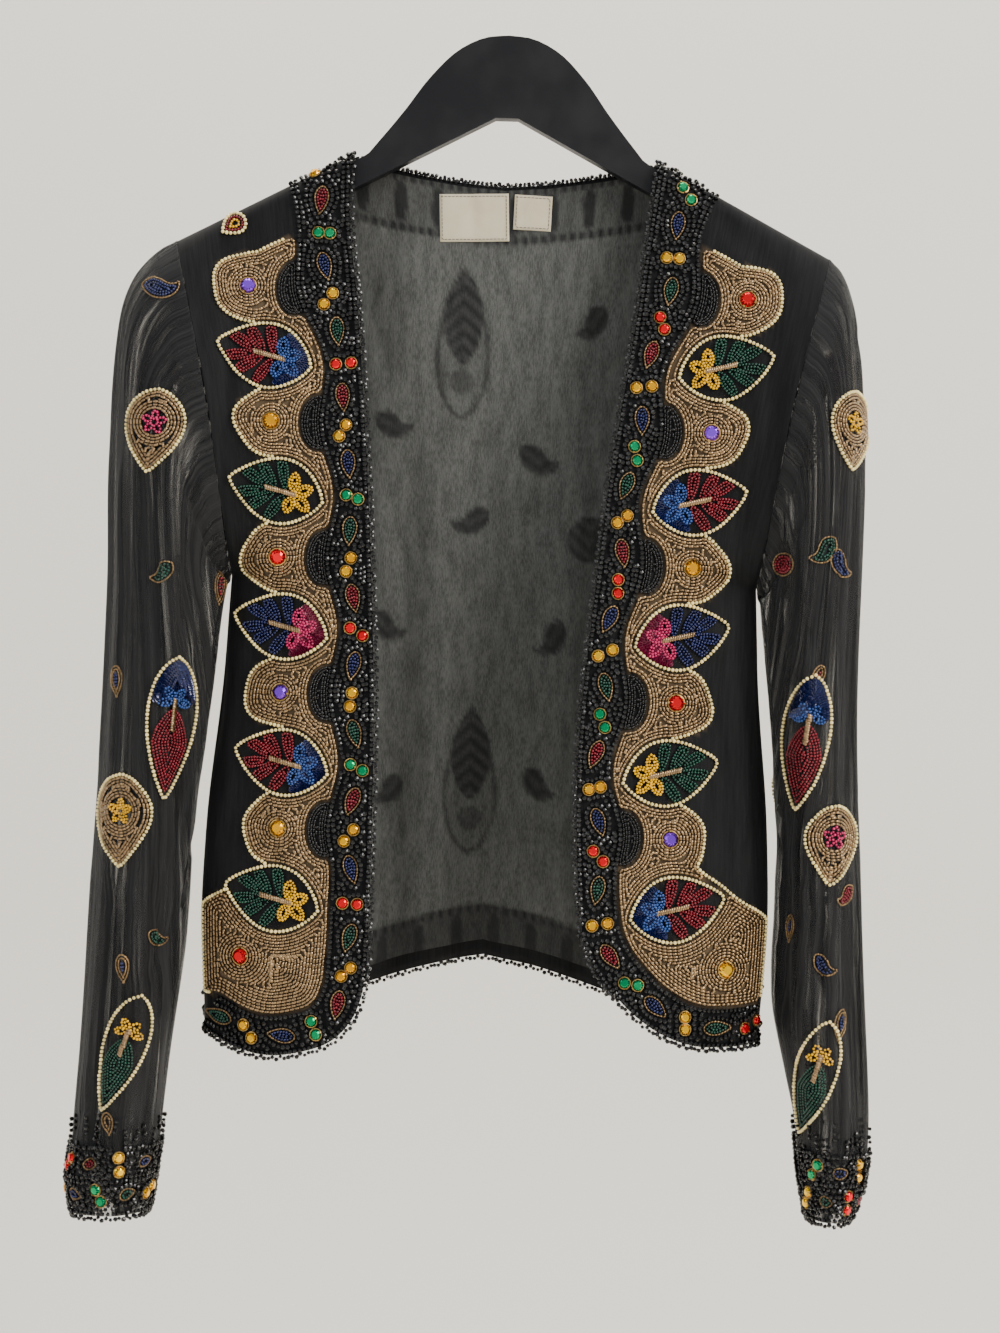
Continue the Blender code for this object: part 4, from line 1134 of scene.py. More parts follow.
def leaf_spots(root, spots):
    """Spots given along and across a leaf, moved to where the leaf is."""
    return turned(spots, LEAF_TILT) + np.array([root[0] + LEAF_ROOT, root[1] - LEAF_DROP])


def round_outline(centre, radius, count=32):
    a = np.linspace(0, 2 * math.pi, count, endpoint=False)
    return np.stack([centre[0] + radius * np.cos(a), centre[1] + radius * np.sin(a)], 1)


def petal_outline(centre, length, width, lean=0.0, count=28):
    """A drop with a round head and a pointed foot."""
    t = np.linspace(0, 1, count)
    half = width / 2 * np.sin(math.pi * t**0.75) ** 0.8
    along = (0.5 - t) * length
    return turned(both_sides(along, half)[:, ::-1].copy(), lean) + np.array(centre)


def on_grid(outline, step=0.5):
    return Ground(outline.min(0) - 2, outline.max(0) + 2, step).add(outline)


def echo(where, place, outline, rows, step=1.75, first=0.4, shortest=1.6):
    """Fills an outline with echo rows; rows is (kind, colour) from the outside in, the last repeated."""
    for number, row in on_grid(outline).rows(first, step, shortest):
        kind, colour = rows[min(number, len(rows) - 1)]
        sew(f"{where}_{kind}", row, place, WHITE if colour is None else COLOURS[colour])


def filled(where, kind, place, shape, colour, first, step, lift=0.0, shortest=2.0):
    """Fills a shape with rows of one kind of bead in one colour."""
    for _, row in shape.rows(first, step, shortest):
        sew(f"{where}_{kind}", row, place, colour, lift)


def front_outline(side):
    """The whole front panel, seen flat."""
    points = fronts[side] if side == "left" else fronts[side][:, ::-1]
    rim = np.vstack([points[:, 0], points[-1], points[::-1, -1], points[0, ::-1]])[::3, ::2]
    return np.abs(rim / MM) * np.array([1, -1])


print("lobes and leaves on a front:", [len(spots) for spots in unit_places("right")])

# %% [markdown]
# The black band runs round the whole opening. It carries pairs of set stones and small drops in
# turn, and rows of jet beads flow round them. One function lays any such band: it needs the band's
# own outline, the line down its middle, and a way of laying it on the cloth. Its edge is finished
# with picot, small loops of beads that stand out past the cloth.

# %% One black band
PAIR_COLOURS = ("yellow", "green", "yellow", "red")
DROP_COLOURS = ("red", "navy", "green")
# pairs of stones and drops, in mm: their step, where they begin, and the room that each is given
HALF_STEP, BAND_START, PAIR_REACH, BAND_STONE = 21.0, 10, 4.3, 3.5
STONE_ROOM, DROP_ROOM, BAND_DROP = 0.6, 1.0, (19, 9.5)
# how far picot lies below the cloth's face in mm, at its loops and at its root
LOOP_SINK, ROOT_SINK = 0.9, 1.3
FINE_RIM = ("fine_gold", "bronze")


def frame_at(line, distance):
    """The spot at a distance along a line, and the ways along and across it there."""
    run = run_of(line)
    spot, ahead, before = (np.array([np.interp(distance + more, run, line[:, k]) for k in range(2)])
                           for more in (0, 1, -1))
    along = unit(ahead - before)
    return spot, along, np.array([-along[1], along[0]])


def beaded_band(where, outline, middle, place, turn=0, phase=0.0, drop_size=BAND_DROP):
    """Pairs of stones and small drops in turn down the middle, and jet beads flowing round them."""
    ground = Ground(outline.min(0) - 3, outline.max(0) + 3, 0.9).add(outline)
    count = int((run_of(middle)[-1] - BAND_START - 2 - phase) / HALF_STEP) + 1
    for k in range(count):
        spot, along, over = frame_at(middle, BAND_START + phase + k * HALF_STEP)
        if k % 2 == 0:
            colour = PAIR_COLOURS[(k // 2 + turn) % len(PAIR_COLOURS)]
            wobble = 0.6 * math.sin(2.3 * k + turn)
            lean = 0.55 + 1.3 * (k % 4 == 2) + 0.3 * math.sin(1.9 * k + turn)
            end = PAIR_REACH * (along * math.cos(lean) + over * math.sin(lean)) + wobble * over
            for centre in (spot - end, spot + end):
                set_stone(where, centre, place, BAND_STONE, colour)
                ground.cut(round_outline(centre, BAND_STONE + 0.7), STONE_ROOM)
        else:
            lean = math.atan2(along[0], -along[1]) + 0.25 * math.sin(1.7 * k + turn)
            drop = petal_outline(spot, *drop_size, lean)
            colour = DROP_COLOURS[(k // 2 + turn) % len(DROP_COLOURS)]
            echo(where, place, drop, (FINE_RIM, ("seeds", colour)), 1.7, 0.5, 2.0)
            ground.cut(drop, DROP_ROOM)
    for _, row in ground.rows(1.2, JET_STEP, 3.0):
        sew(f"{where}_jet_beads", row, place)


def picot(where, spots, outward, normals, wave=6.2, reach=2.1, rooted=False):
    """Loops of jet beads standing out past an edge of the cloth, given as points in metres."""
    run = run_of(spots)
    even = np.arange(0, run[-1], 0.9 * MM)
    line, out, up = (np.stack([np.interp(even, run, given[:, k]) for k in range(3)], 1)
                     for given in (spots, outward, normals))
    out, up = unit(out), unit(up)
    bulge = 0.4 + reach * np.abs(np.sin(math.pi * even / (wave * MM)))
    loops, root = line + out * (bulge * MM)[:, None] - up * LOOP_SINK * MM, line - up * ROOT_SINK * MM
    for made in (loops, root) if rooted else (loops,):
        threads.setdefault(f"{where}_jet_beads", []).append((made, up, np.ones_like(made)))


def edge_frame(points, normals, at):
    """The first or last row of a cloth grid: its points, the way out past it, and the way up."""
    line, up, inner = points[at], normals[at], points[1 if at == 0 else -2]
    out = line - inner
    ways = np.gradient(line, axis=0)
    out -= (np.sum(out * ways, 1) / np.maximum(np.sum(ways * ways, 1), 1e-18))[:, None] * ways
    return line, unit(out), up


# %% The bands of the fronts
for side in SIDES:
    line, inner = border_edge(side), band_inner(side)
    outline = np.vstack([line, inner[::-1]])
    beaded_band(side, outline, (line + inner) / 2, front_place[side], 0 if side == "right" else 1,
                phase=8.0 if side == "left" else 0.0)
    grid, normals = fronts[side], normals_of(fronts[side])
    picot(side, *edge_frame(grid.swapaxes(0, 1), normals.swapaxes(0, 1), 0 if side == "left" else -1))
    picot(side, *edge_frame(grid, normals, -1))
print("threads so far:", counts(threads))

# %% [markdown]
# The gold border is one piece of ground with holes in it for leaves and stones, so its tubes flow
# round both. Pearls run along its outer edge and round every leaf. The pearls' line is the
# contour of depth zero of strip, lobes and corner together, less what lies against the band.

# %% The gold borders, their lobes and their pearls
GOLD_TOP_Z, GOLD_FOOT_Z = -80, -556
CORNER_REACH, CORNER_GROWTH, CORNER_STONE = 128, 66, (150, -528)
FRONT_AREA = ((55, -600), (200, -60))
LEAF_ROOM, OVAL_ROOM, EDGE_ROOM, PEARLS_FROM_BAND, FIRST_ROW = 1.4, 0.6, 3.0, 5.0, 1.7
LOBE_STONE, OVAL_RADII = 5.0, (11.0, 17.0)


def strip_outline(side):
    """The strip beside the band, with the corner that sweeps out to the side seam."""
    inner = band_inner(side)
    inner = inner[inner[:, 1] < GOLD_TOP_Z]
    heights = np.arange(GOLD_TOP_Z, GOLD_FOOT_Z, -3.0)
    root = roots_at(inner, heights)
    ripple = 2.2 * np.sin(heights / 6.1) + 1.6 * np.sin(heights / 3.3 + 1)
    reach = root + (STRIP_WIDTH + ripple) * ease((-74 - heights) / 22)
    corner = CORNER_REACH + CORNER_GROWTH * ease((CORNER_TOP_Z - heights) / CORNER_SWEEP) + ripple
    reach = np.where(heights < CORNER_TOP_Z, np.maximum(reach, corner), reach)
    return np.vstack([inset(inner, 0.8), [(200, inner[-1][1])], np.stack([reach, heights], 1)[::-1]])


def lobe_outline(spot, side, number):
    """A round lobe with a slightly uneven edge, as needlework has."""
    a = np.linspace(0, 2 * math.pi, 60, endpoint=False)
    uneven = 1 + 0.035 * np.sin(3 * a + number) + 0.03 * np.sin(5 * a + 2 * number + len(side))
    centre = (spot[0] + LOBE_REACH - 2, spot[1])
    return np.stack([centre[0] + (LOBE_REACH - 6) * uneven * np.cos(a),
                     centre[1] + LOBE_RADIUS * uneven * np.sin(a)], 1)


def gold_border(side):
    """Pearls round one border, jet ovals and stones in its lobes, and gold rows over the rest."""
    place = front_place[side]
    lobes, leaves = unit_places(side)
    leaf_lines = [leaf_outline(spot) for spot in leaves]
    solid = Ground(*FRONT_AREA).add(strip_outline(side))
    for number, spot in enumerate(lobes):
        solid.add(lobe_outline(spot, side, number), 10)
    solid.keep(front_outline(side), EDGE_ROOM)
    edge = band_inner(side)
    for line in solid.line(0.0):
        away = np.array([np.hypot(*(edge - spot).T).min() for spot in line]) > PEARLS_FROM_BAND
        for leaf in leaf_lines:
            away &= inside_by(leaf, line[:, 0], line[:, 1]) < -LEAF_ROOM
        away &= line[:, 1] < GOLD_TOP_Z - 1.5
        for run in split_where(line, away):
            if len(run) > 5:
                sew(f"{side}_pearls", spaced(eased_line(run), SPOT_STEP), place)
    band = np.vstack([border_edge(side), edge[::-1]])
    for x, z in lobes:
        oval = (round_outline((x + 1, z), 1.0, 40) - (x + 1, z)) * OVAL_RADII + (x + 1, z)
        filled(side, "jet_tubes", place, on_grid(oval, 0.7).cut(band, 0.2), WHITE, 0.9, 1.6, shortest=3.0)
        solid.cut(oval, OVAL_ROOM)
    centres = [(x + LOBE_REACH, z) for x, z in lobes] + [CORNER_STONE]
    for number, centre in enumerate(centres):
        set_stone(side, centre, place, LOBE_STONE, LOBE_STONES[side][number % 3])
        solid.cut(round_outline(centre, LOBE_STONE))
    for leaf in leaf_lines:
        solid.cut(leaf, LEAF_ROOM)
    filled(side, "gold_tubes", place, solid, COLOURS["bronze"], FIRST_ROW, GOLD_STEP, shortest=4.0)
    for row in solid.ridges(FIRST_ROW, GOLD_STEP):
        sew(f"{side}_gold_tubes", row, place, COLOURS["bronze"])
    spots = fronts[side] / MM
    depth, _, _ = solid.at(SIDES[side] * spots[..., 0], spots[..., 2])
    mark(pieces[f"{side}_front"].data, "shade", np.clip(depth / 2 + 0.2, 0, 1))


for side in SIDES:
    gold_border(side)
print("threads so far:", counts(threads))

# %% [markdown]
# A leaf has pearls round its rim, a coiled bronze stem, a flower at its foot, and fronds that
# spread from the stem, each a slim shape filled with its own echo rows. Behind a blue or a pink
# flower lie rows of dark sequins. Each part is planned along and across the leaf, so the same
# function makes the border's broad leaves and the long petals of the sleeves and the back.

# %% The leaves and their flowers
PETAL_LEANS = (-1.75, -0.58, 0.58, 1.75)
HEART_SHARE, FLOWER_SHARE, FLOWER_LIFT = 0.31, 0.33, 0.5
# where each frond leaves the stem, its lean and its length, in shares of the leaf's length
FRONDS = ((0.40, 1.18, 0.42), (0.50, 0.78, 0.46), (0.58, 0.34, 0.44))
DARK_SEQUINS = {"blue": (0.008, 0.014, 0.075), "pink": (0.16, 0.006, 0.035)}


def slim_outline(start, lean, length, width):
    """A slim pointed oval from a starting spot, given along and across a leaf."""
    t = np.linspace(0, 1, 18)
    half = width / 2 * np.sin(math.pi * t) ** 0.6
    return turned(both_sides(length * t, half), lean) + start


def flower(where, place, to, heart, reach, width, colour, leans):
    """Round petals of seed beads about a heart."""
    for number, lean in enumerate(leans):
        long = reach * (1 - 0.1 * (number % 2))
        outline = to(slim_outline((heart[0] + math.cos(lean), heart[1] + math.sin(lean)), lean, long, width))
        filled(where, "seeds", place, on_grid(outline), COLOURS[colour], 0.55, 1.6, FLOWER_LIFT)


def along_petal(size):
    """Moves spots given along and across a long petal to where they are round its middle."""
    return lambda spots: np.stack([spots[:, 1], size / 2 - spots[:, 0]], 1)


def blade_of(length, width):
    return slim_outline((0.36 * length, 0.0), 0.0, 0.6 * length, 0.74 * width)


def leaf(where, place, outline, to, length, width, leaf_colour, petal_colour):
    """One leaf; `to` moves spots given along and across the leaf to where it is."""
    sew(f"{where}_pearls", spaced(np.vstack([outline, outline[:1]]), SPOT_STEP), place)
    heart, reach = (HEART_SHARE * length, 0.0), FLOWER_SHARE * width
    if petal_colour in DARK_SEQUINS:
        half = to(np.array([(-9, -width), (heart[0] + 8, -width), (heart[0], 0), (heart[0] + 8, width),
                            (-9, width)], float))
        back_part = on_grid(outline, 0.7).keep(half)
        filled(where, "sequins", place, back_part, DARK_SEQUINS[petal_colour], 2.6, 2.1)
    long_leaf = length > 2 * width
    if long_leaf:
        blade = on_grid(to(blade_of(length, width)))
        filled(where, "seeds", place, blade.keep(outline, 2.0), COLOURS[leaf_colour], 0.5, 1.7)
    for start, lean, share in () if long_leaf else FRONDS:
        for hand in (-1, 1):
            long = share * length * (1 + 0.12 * hand * math.cos(5 * lean))
            frond = to(slim_outline((start * length, hand * 0.9), hand * lean, long, 0.14 * width + 1.2))
            filled(where, "seeds", place, on_grid(frond).keep(outline, 1.9), COLOURS[leaf_colour], 0.5, 1.7)
    flower(where, place, to, heart, reach, 0.18 * width + 0.6, petal_colour,
           [math.pi + lean for lean in PETAL_LEANS])
    for along in np.arange(heart[0] - 1, (0.52 if long_leaf else 0.62) * length, 1.45):
        stroke = to(np.array([(along - 0.06, -0.12), (along + 0.06, 0.12)]))
        sew(f"{where}_gold_tubes", stroke, place, COLOURS["bronze"], 0.9)


for side in SIDES:
    for spot, (leaf_colour, petal_colour) in zip(unit_places(side)[1], LEAF_COLOURS[side]):
        leaf(side, front_place[side], leaf_outline(spot), lambda spots, at=spot: leaf_spots(at, spots),
             LEAF_LENGTH, LEAF_WIDTH, leaf_colour, petal_colour)
print("threads so far:", counts(threads))

# %% [markdown]
# Loose motifs are scattered over the sleeves and the back: curled paisleys, drops, rounds, gold
# medallions and long petals, each at a listed place. A paisley is drawn as a curling line whose
# thickness falls from its round head to its thin tail.

# %% The loose motifs
MEDALLION_WIDTH, PETAL_WIDTH, SHADOW_WIDTH = 0.72, 0.33, 0.36


def paisley_outline(length, curl=1):
    """A curling drop, head up, centred on its middle."""
    t = np.linspace(0, 1, 26)
    turn = curl * 2.3 * t**1.4
    step = length / 26
    spine = np.stack([np.cumsum(np.sin(turn)) * step, -np.cumsum(np.cos(turn)) * step], 1)
    half = length * 0.27 * np.sin(math.pi * np.clip(0.18 + 0.82 * t, 0, 1)) ** 0.9 * (1 - 0.25 * t)
    half[0] = 0.0
    way = unit(np.gradient(spine, axis=0))
    over = np.stack([-way[:, 1], way[:, 0]], 1)
    rim = np.concatenate([spine + over * half[:, None], (spine - over * half[:, None])[::-1]])
    return rim - (rim.min(0) + rim.max(0)) / 2


def motif(where, place, kind, size, colour, second=None):
    """One loose motif, drawn round the middle of its place."""
    if kind == "paisley":
        echo(where, place, paisley_outline(size, -1 if second else 1), (FINE_RIM, ("seeds", colour)))
    elif kind == "drop":
        echo(where, place, petal_outline((0, 0), size, size * 0.5), (FINE_RIM, FINE_RIM, ("seeds", colour)))
    elif kind == "round":
        echo(where, place, round_outline((0, 0), size / 2), (FINE_RIM, ("seeds", colour)))
    elif kind == "medallion":
        outline = petal_outline((0, 0), size, size * MEDALLION_WIDTH)
        shape = on_grid(outline, 0.7)
        heart = np.array([0.0, size * 0.1])
        for number, row in shape.cut(round_outline(heart, size * 0.15), 0.6).rows(0.3, GOLD_STEP, 2.5):
            touches = np.hypot(*(row - heart).T).min() < size * 0.15 + 2
            as_pearl = number == 0 and not touches
            sew(f"{where}_{'pearls' if as_pearl else 'gold_tubes'}", row, place,
                WHITE if as_pearl else COLOURS["bronze"])
        for row in shape.ridges(0.3, GOLD_STEP, 2.5):
            sew(f"{where}_gold_tubes", row, place, COLOURS["bronze"])
        flower(where, place, lambda spots: spots, heart, size * 0.14, size * 0.09, colour,
               (0.3, 1.56, 2.81, 4.07, 5.33))
    else:
        width = size * PETAL_WIDTH
        leaf(where, place, petal_outline((0, 0), size, width), along_petal(size), size, width, colour, second)


for side, sign in SIDES.items():
    for toward, table in ((1, SLEEVE_MOTIFS[side]), (-1, SLEEVE_BACK_MOTIFS[side])):
        for x, z, lean, *what in table:
            place = patch_place(sleeve_trees[side], sleeves[side], sign * x, z, toward, sign * lean)
            motif(side, place, *what)


def moved_place(place, x, z, lean):
    return lambda spots: place(turned(spots, lean) + (x, z))


for x, z, lean, *what in BACK_MOTIFS:
    motif("back", moved_place(back_place, x, z, lean), *what)
echo("right", moved_place(front_place["right"], *SHOULDER_DROP), petal_outline((0, 0), 17, 14),
     (("pearls", None), ("seeds", "red"), ("seeds", "yellow")), 2.1)
print("threads so far:", counts(threads))

# %% [markdown]
# The cuffs and the back's two bands are the same black beadwork as the fronts' band, so the same
# function lays them, on the wrist's own map and on the back. Above each cuff the beads thin out
# into a loose scatter of short strings.

# %% The cuffs, the back's bands and their picot
CUFF_HEIGHT, CUFF_STRINGS, CUFF_DROP = 44.0, 26, (13, 8)
for side in SIDES:
    place, girth = cuff_place[side], cuff_place[side].girth
    outline = np.array([(0.6, 0.6), (girth - 0.6, 0.6), (girth - 0.6, CUFF_HEIGHT), (0.6, CUFF_HEIGHT)])
    middle = np.array([(4.0, CUFF_HEIGHT * 0.30), (girth - 4, CUFF_HEIGHT * 0.30)])
    upper = middle + (0, CUFF_HEIGHT * 0.44)
    lower_half = np.minimum(outline, (girth, CUFF_HEIGHT * 0.52))
    upper_half = np.maximum(outline, (0, CUFF_HEIGHT * 0.53))
    beaded_band(side, lower_half, spaced(middle, 2), place, 2, drop_size=CUFF_DROP)
    beaded_band(side, upper_half, spaced(upper, 2), place, 1, phase=12.0, drop_size=CUFF_DROP)
    for k in range(CUFF_STRINGS):
        start = np.array([girth * (k + 0.5) / CUFF_STRINGS, CUFF_HEIGHT + 4 + 6 * math.sin(2.4 * k)])
        away = np.array([1.5 * math.sin(3.1 * k), 7.0 + 4 * math.cos(1.9 * k)])
        sew(f"{side}_jet_beads", spaced([start, start + away], 1.0), place)
    ring, normal = ring_closed(sleeves[side]), ring_closed(normals_of(sleeves[side], True))
    picot(side, *edge_frame(ring, normal, -1))



def both_halves(table, step):
    """A line across the back, from the half that its table gives."""
    return smooth_line([(-x, z) for x, z in reversed(table[1:])] + list(table), step)


hem = both_halves(BACK_HEM, 4)
hem_top = inset(hem, BACK_BAND)
beaded_band("back", np.vstack([hem + (0, 1), hem_top[::-1]]), (hem + hem_top) / 2, back_place, 0)
neck = both_halves(BACK_NECK, 3)
neck_low = inset(neck, -NECK_BAND)
neck_low[:, 0] = neck[:, 0]
beaded_band("back", np.vstack([neck, neck_low[::-1]]), (neck + neck_low) / 2 + (0, 1), back_place, 1)
back_normals = normals_of(back)
picot("back", *edge_frame(back, back_normals, -1))
at_neck = np.abs(back[0, :, 0]) < NECK_X - 1 * MM
picot("back", *edge_frame(back[:, at_neck], back_normals[:, at_neck], 0),
      wave=5.0, reach=1.4, rooted=True)
print("threads:", counts(threads))
print("stones:", counts(stones))

# %% [markdown]
# Finishes. All of them are made from nodes. Beads take their colour from the `tone` that the tree
# left on them, so each bead differs a little from the next, as glass from different batches does.

# %% Small helpers for finishes


def finish(name, colour, roughness, **more):
    """A new finish with values that are the same all over, set on the shader itself."""
    made = bpy.data.materials.new(name)
    made.use_nodes = True
    tree = made.node_tree
    shader = tree.nodes["Principled BSDF"]
    shader.inputs["Base Color"].default_value = (*colour, 1)
    shader.inputs["Roughness"].default_value = roughness
    for label, value in more.items():
        shader.inputs[label.replace("_", " ").title().replace("Ior", "IOR")].default_value = value
    made.diffuse_color = (*colour, 1)
    return made, tree, shader


def noise(tree, where, scale, detail=3.0, roughness=0.5):
    return node(tree, "ShaderNodeTexNoise", [("Vector", where), ("Scale", scale), ("Detail", detail),
                                             ("Roughness", roughness)]).outputs[0]


def here_on(tree, map_name="Object"):
    return node(tree, "ShaderNodeTexCoord").outputs[map_name]


def brought(tree, name, output="Fac"):
    """A value that the cloth or each bead carries."""
    return node(tree, "ShaderNodeAttribute", attribute_name=name).outputs[output]


def stretched(tree, where, across, down):
    return node(tree, "ShaderNodeMapping", [("Vector", where), ("Scale", (across, down, 1))]).outputs[0]


def remap(tree, value, low, high, out_low, out_high):
    return node(tree, "ShaderNodeMapRange",
                [("Value", value), ("From Min", low), ("From Max", high), ("To Min", out_low),
                 ("To Max", out_high)]).outputs[0]


def mixed(tree, share, first, second):
    ends = [end if isinstance(end, bpy.types.NodeSocket) else (*end, 1) for end in (first, second)]
    return node(tree, "ShaderNodeMix", [(0, share), (6, ends[0]), (7, ends[1])], data_type="RGBA").outputs[2]


def bumped(tree, shader, height, distance, strength=1.0):
    made = node(tree, "ShaderNodeBump", [("Height", height), ("Distance", distance), ("Strength", strength)])
    tree.links.new(made.outputs[0], shader.inputs["Normal"])


# %% Crinkled silk, opaque and sheer


def crinkle(tree, across=520, down=34, detail=4.0):
    """Fine uneven pleats that run down the cloth, from the map in metres: their height from 0 to 1."""
    on_cloth = here_on(tree, "UV")
    fine = noise(tree, stretched(tree, on_cloth, across, down), 1.0, detail, 0.65)
    slow = noise(tree, stretched(tree, on_cloth, across / 7, down / 5), 1.0, 2.0)
    both = math_node(tree, "ADD", math_node(tree, "MULTIPLY", fine, 0.7),
                     math_node(tree, "MULTIPLY", slow, 0.3))
    return on_cloth, both, slow


# the ground under the gold tubes, and the beadwork's shadow on the lining
UNDER_GOLD, SHADOW = (0.10, 0.068, 0.036), (0.006, 0.006, 0.007)
# folds of sheer cloth: cycles across and down, where each begins and is full, how much it closes
SHEER_FOLDS = ((48, 1.5, 0.485, 0.515, 0.30), (120, 3.2, 0.49, 0.53, 0.22))


def silk(name, low, high, roughness):
    made, tree, shader = finish(name, low, roughness, sheen_weight=0.06, sheen_roughness=0.4,
                                specular_ior_level=0.16)
    on_cloth, pleats, _ = crinkle(tree)
    grain = noise(tree, on_cloth, 2600, 2.0)
    # painted shade: the crinkle's hollows are coloured darker than its tops; under the gold the cloth is
    # bronze
    plain = mixed(tree, remap(tree, pleats, 0.36, 0.64, 0.0, 1.0), low, high)
    tree.links.new(mixed(tree, brought(tree, "shade"), plain, UNDER_GOLD), shader.inputs["Base Color"])
    tree.links.new(remap(tree, grain, 0.3, 0.7, roughness - 0.08, roughness + 0.12),
                   shader.inputs["Roughness"])
    bumped(tree, shader, pleats, 0.5 * MM, 0.9)
    return made


def sheer_silk():
    """Sheer georgette: it lets light through, less in streaks where it doubles; its hollows and creases get
    painted shade.
    """
    low, high = (0.003, 0.003, 0.0035), (0.024, 0.024, 0.024)
    made, tree, shader = finish("sheer crinkled silk", low, 0.72, sheen_weight=0.08, sheen_roughness=0.5,
                                specular_ior_level=0.15)
    on_cloth, pleats, _ = crinkle(tree, 480, 9, 1.5)
    # painted shade: the crinkle's hollows are coloured darker than its tops
    tree.links.new(mixed(tree, remap(tree, pleats, 0.36, 0.64, 0.0, 1.0), low, high),
                   shader.inputs["Base Color"])
    # painted shade: the crinkle's hollows also let less light through
    closed = remap(tree, pleats, 0.40, 0.60, 0.52, 0.32)
    for across, down, start, end, layer in SHEER_FOLDS:
        doubled = noise(tree, stretched(tree, on_cloth, across, down), 1.0, 2.0)
        closed = math_node(tree, "ADD", closed, remap(tree, doubled, start, end, 0.0, layer))
    # painted shade: crease troughs marked on the sleeve are made more opaque, so darker; at the armhole the
    # mark stands for the lining
    closed = math_node(tree, "ADD", closed, math_node(tree, "MULTIPLY", brought(tree, "shade"), 0.32))
    tree.links.new(math_node(tree, "MINIMUM", closed, 0.97), shader.inputs["Alpha"])
    bumped(tree, shader, pleats, 0.7 * MM, 0.9)
    return made


def lining_silk():
    """The lining seen inside the back: grey, with the beadwork behind it showing as soft shadows."""
    low, high = (0.042, 0.043, 0.040), (0.112, 0.115, 0.107)
    made, tree, shader = finish("grey lining", low, 0.8, sheen_weight=0.1, specular_ior_level=0.15)
    on_cloth, pleats, slow = crinkle(tree, 1250, 230)
    grain = noise(tree, on_cloth, 1500, 2.0, 0.7)
    # painted shade in the crinkle's hollows, with slow blotches and a fine grain that vary the grey at random
    share = math_node(tree, "ADD", remap(tree, pleats, 0.40, 0.60, 0.0, 0.75),
                      math_node(tree, "ADD", remap(tree, slow, 0.35, 0.65, 0.0, 0.06),
                                remap(tree, grain, 0.35, 0.65, 0.0, 0.2)))
    plain = mixed(tree, share, low, high)
    tree.links.new(mixed(tree, brought(tree, "shade"), plain, SHADOW), shader.inputs["Base Color"])
    bumped(tree, shader, pleats, 0.18 * MM, 0.6)
    return made


FINISHES = {"silk": silk("crinkled black silk", (0.0015, 0.0015, 0.0018), (0.0075, 0.0078, 0.0085), 0.66),
            "sheer": sheer_silk(), "lining": lining_silk()}

# %% Glass, pearl and metal of the beads


def bead_finish(name, roughness, spread, patina=0.0, **more):
    """A finish whose colour is each bead's own tone, darker in small patches at random, as tarnish."""
    made, tree, shader = finish(name, (0.5, 0.5, 0.5), roughness, **more)
    tone, patch = brought(tree, "tone", "Color"), noise(tree, here_on(tree), 420)
    worn = remap(tree, patch, 0.35, 0.7, 0.0, patina)
    tree.links.new(mixed(tree, worn, tone, scaled(tree, tone, 0.35)), shader.inputs["Base Color"])
    tree.links.new(remap(tree, patch, 0.3, 0.7, roughness, roughness + spread),
                   shader.inputs["Roughness"])
    return made


def jet_finish():
    made, tree, shader = finish("jet glass", (0.002, 0.002, 0.003), 0.1, specular_ior_level=0.30,
                                coat_weight=0.2, coat_roughness=0.03)
    patch = noise(tree, here_on(tree), 300, 2.0)
    tree.links.new(remap(tree, patch, 0.3, 0.7, 0.05, 0.22), shader.inputs["Roughness"])
    tree.links.new(mixed(tree, patch, (0.0008, 0.0008, 0.001), (0.008, 0.0075, 0.007)),
                   shader.inputs["Base Color"])
    return made


def glass_finish():
    """Foiled glass: each stone's tone, times a painted glint that makes some facets brighter and some darker.
    """
    made, tree, shader = finish("foiled cut glass", (0.5, 0.1, 0.1), 0.2, metallic=0.9, coat_weight=0.12,
                                coat_roughness=0.04)
    glinting_colour = scaled(tree, brought(tree, "tone", "Color"), brought(tree, "facet"))
    tree.links.new(glinting_colour, shader.inputs["Base Color"])
    return made


FINISHES.update({
    "gold_tubes": bead_finish("antique gold tubes", 0.24, 0.2, 0.45, metallic=0.9, coat_weight=0.4,
                              coat_roughness=0.1),
    "fine_gold": bead_finish("fine bronze tubes", 0.26, 0.2, 0.6, metallic=0.9),
    "pearls": bead_finish("cream pearls", 0.26, 0.12, 0.15, coat_weight=0.5, coat_roughness=0.15),
    "seeds": bead_finish("coloured seed beads", 0.12, 0.14, 0.35, coat_weight=0.3, coat_roughness=0.05,
                         specular_ior_level=0.45),
    "sequins": bead_finish("coloured sequins", 0.16, 0.14, 0.2, metallic=0.35, coat_weight=0.5,
                           coat_roughness=0.08),
    "cut_glass": glass_finish(),
    "cups": bead_finish("brass cups", 0.3, 0.2, 0.5, metallic=1.0),
})
FINISHES["jet_beads"] = FINISHES["jet_tubes"] = jet_finish()
PEARL_TONE = (1.0, 0.81, 0.35)
BRASS_TONE = (0.55, 0.36, 0.12)

# %% Sewing every thread
beadwork = {}
for piece in sorted(threads):
    where, kind = piece.split("_", 1)
    rows = threads[piece]
    if kind == "pearls":
        rows = [(spots, up, np.broadcast_to(PEARL_TONE, spots.shape)) for spots, up, _ in rows]
    bead, pitch, spread, sway = BEADS[kind]
    beadwork[piece] = grown(piece, thread_mesh(piece + "_threads", rows), THREADS, bead, Pitch=pitch,
                            Spread=spread, Sway=sway, Seed=len(beadwork) + 3, Finish=FINISHES[kind])
triangles = {name: sum(len(p.vertices) - 2 for p in piece.data.polygons) for name, piece in beadwork.items()}
print("triangles of beadwork:", triangles, sum(triangles.values()))

# %% [markdown]
# A set stone is two parts: cut glass with a flat table and ringed facets, and a brass cup whose
# four claws hold its edge. Both are made once at a radius of one metre and set by a second, smaller
# tree, which scales each by the stone's own radius.

# %% Cut stones in their cups
CUT_SIDES = 12


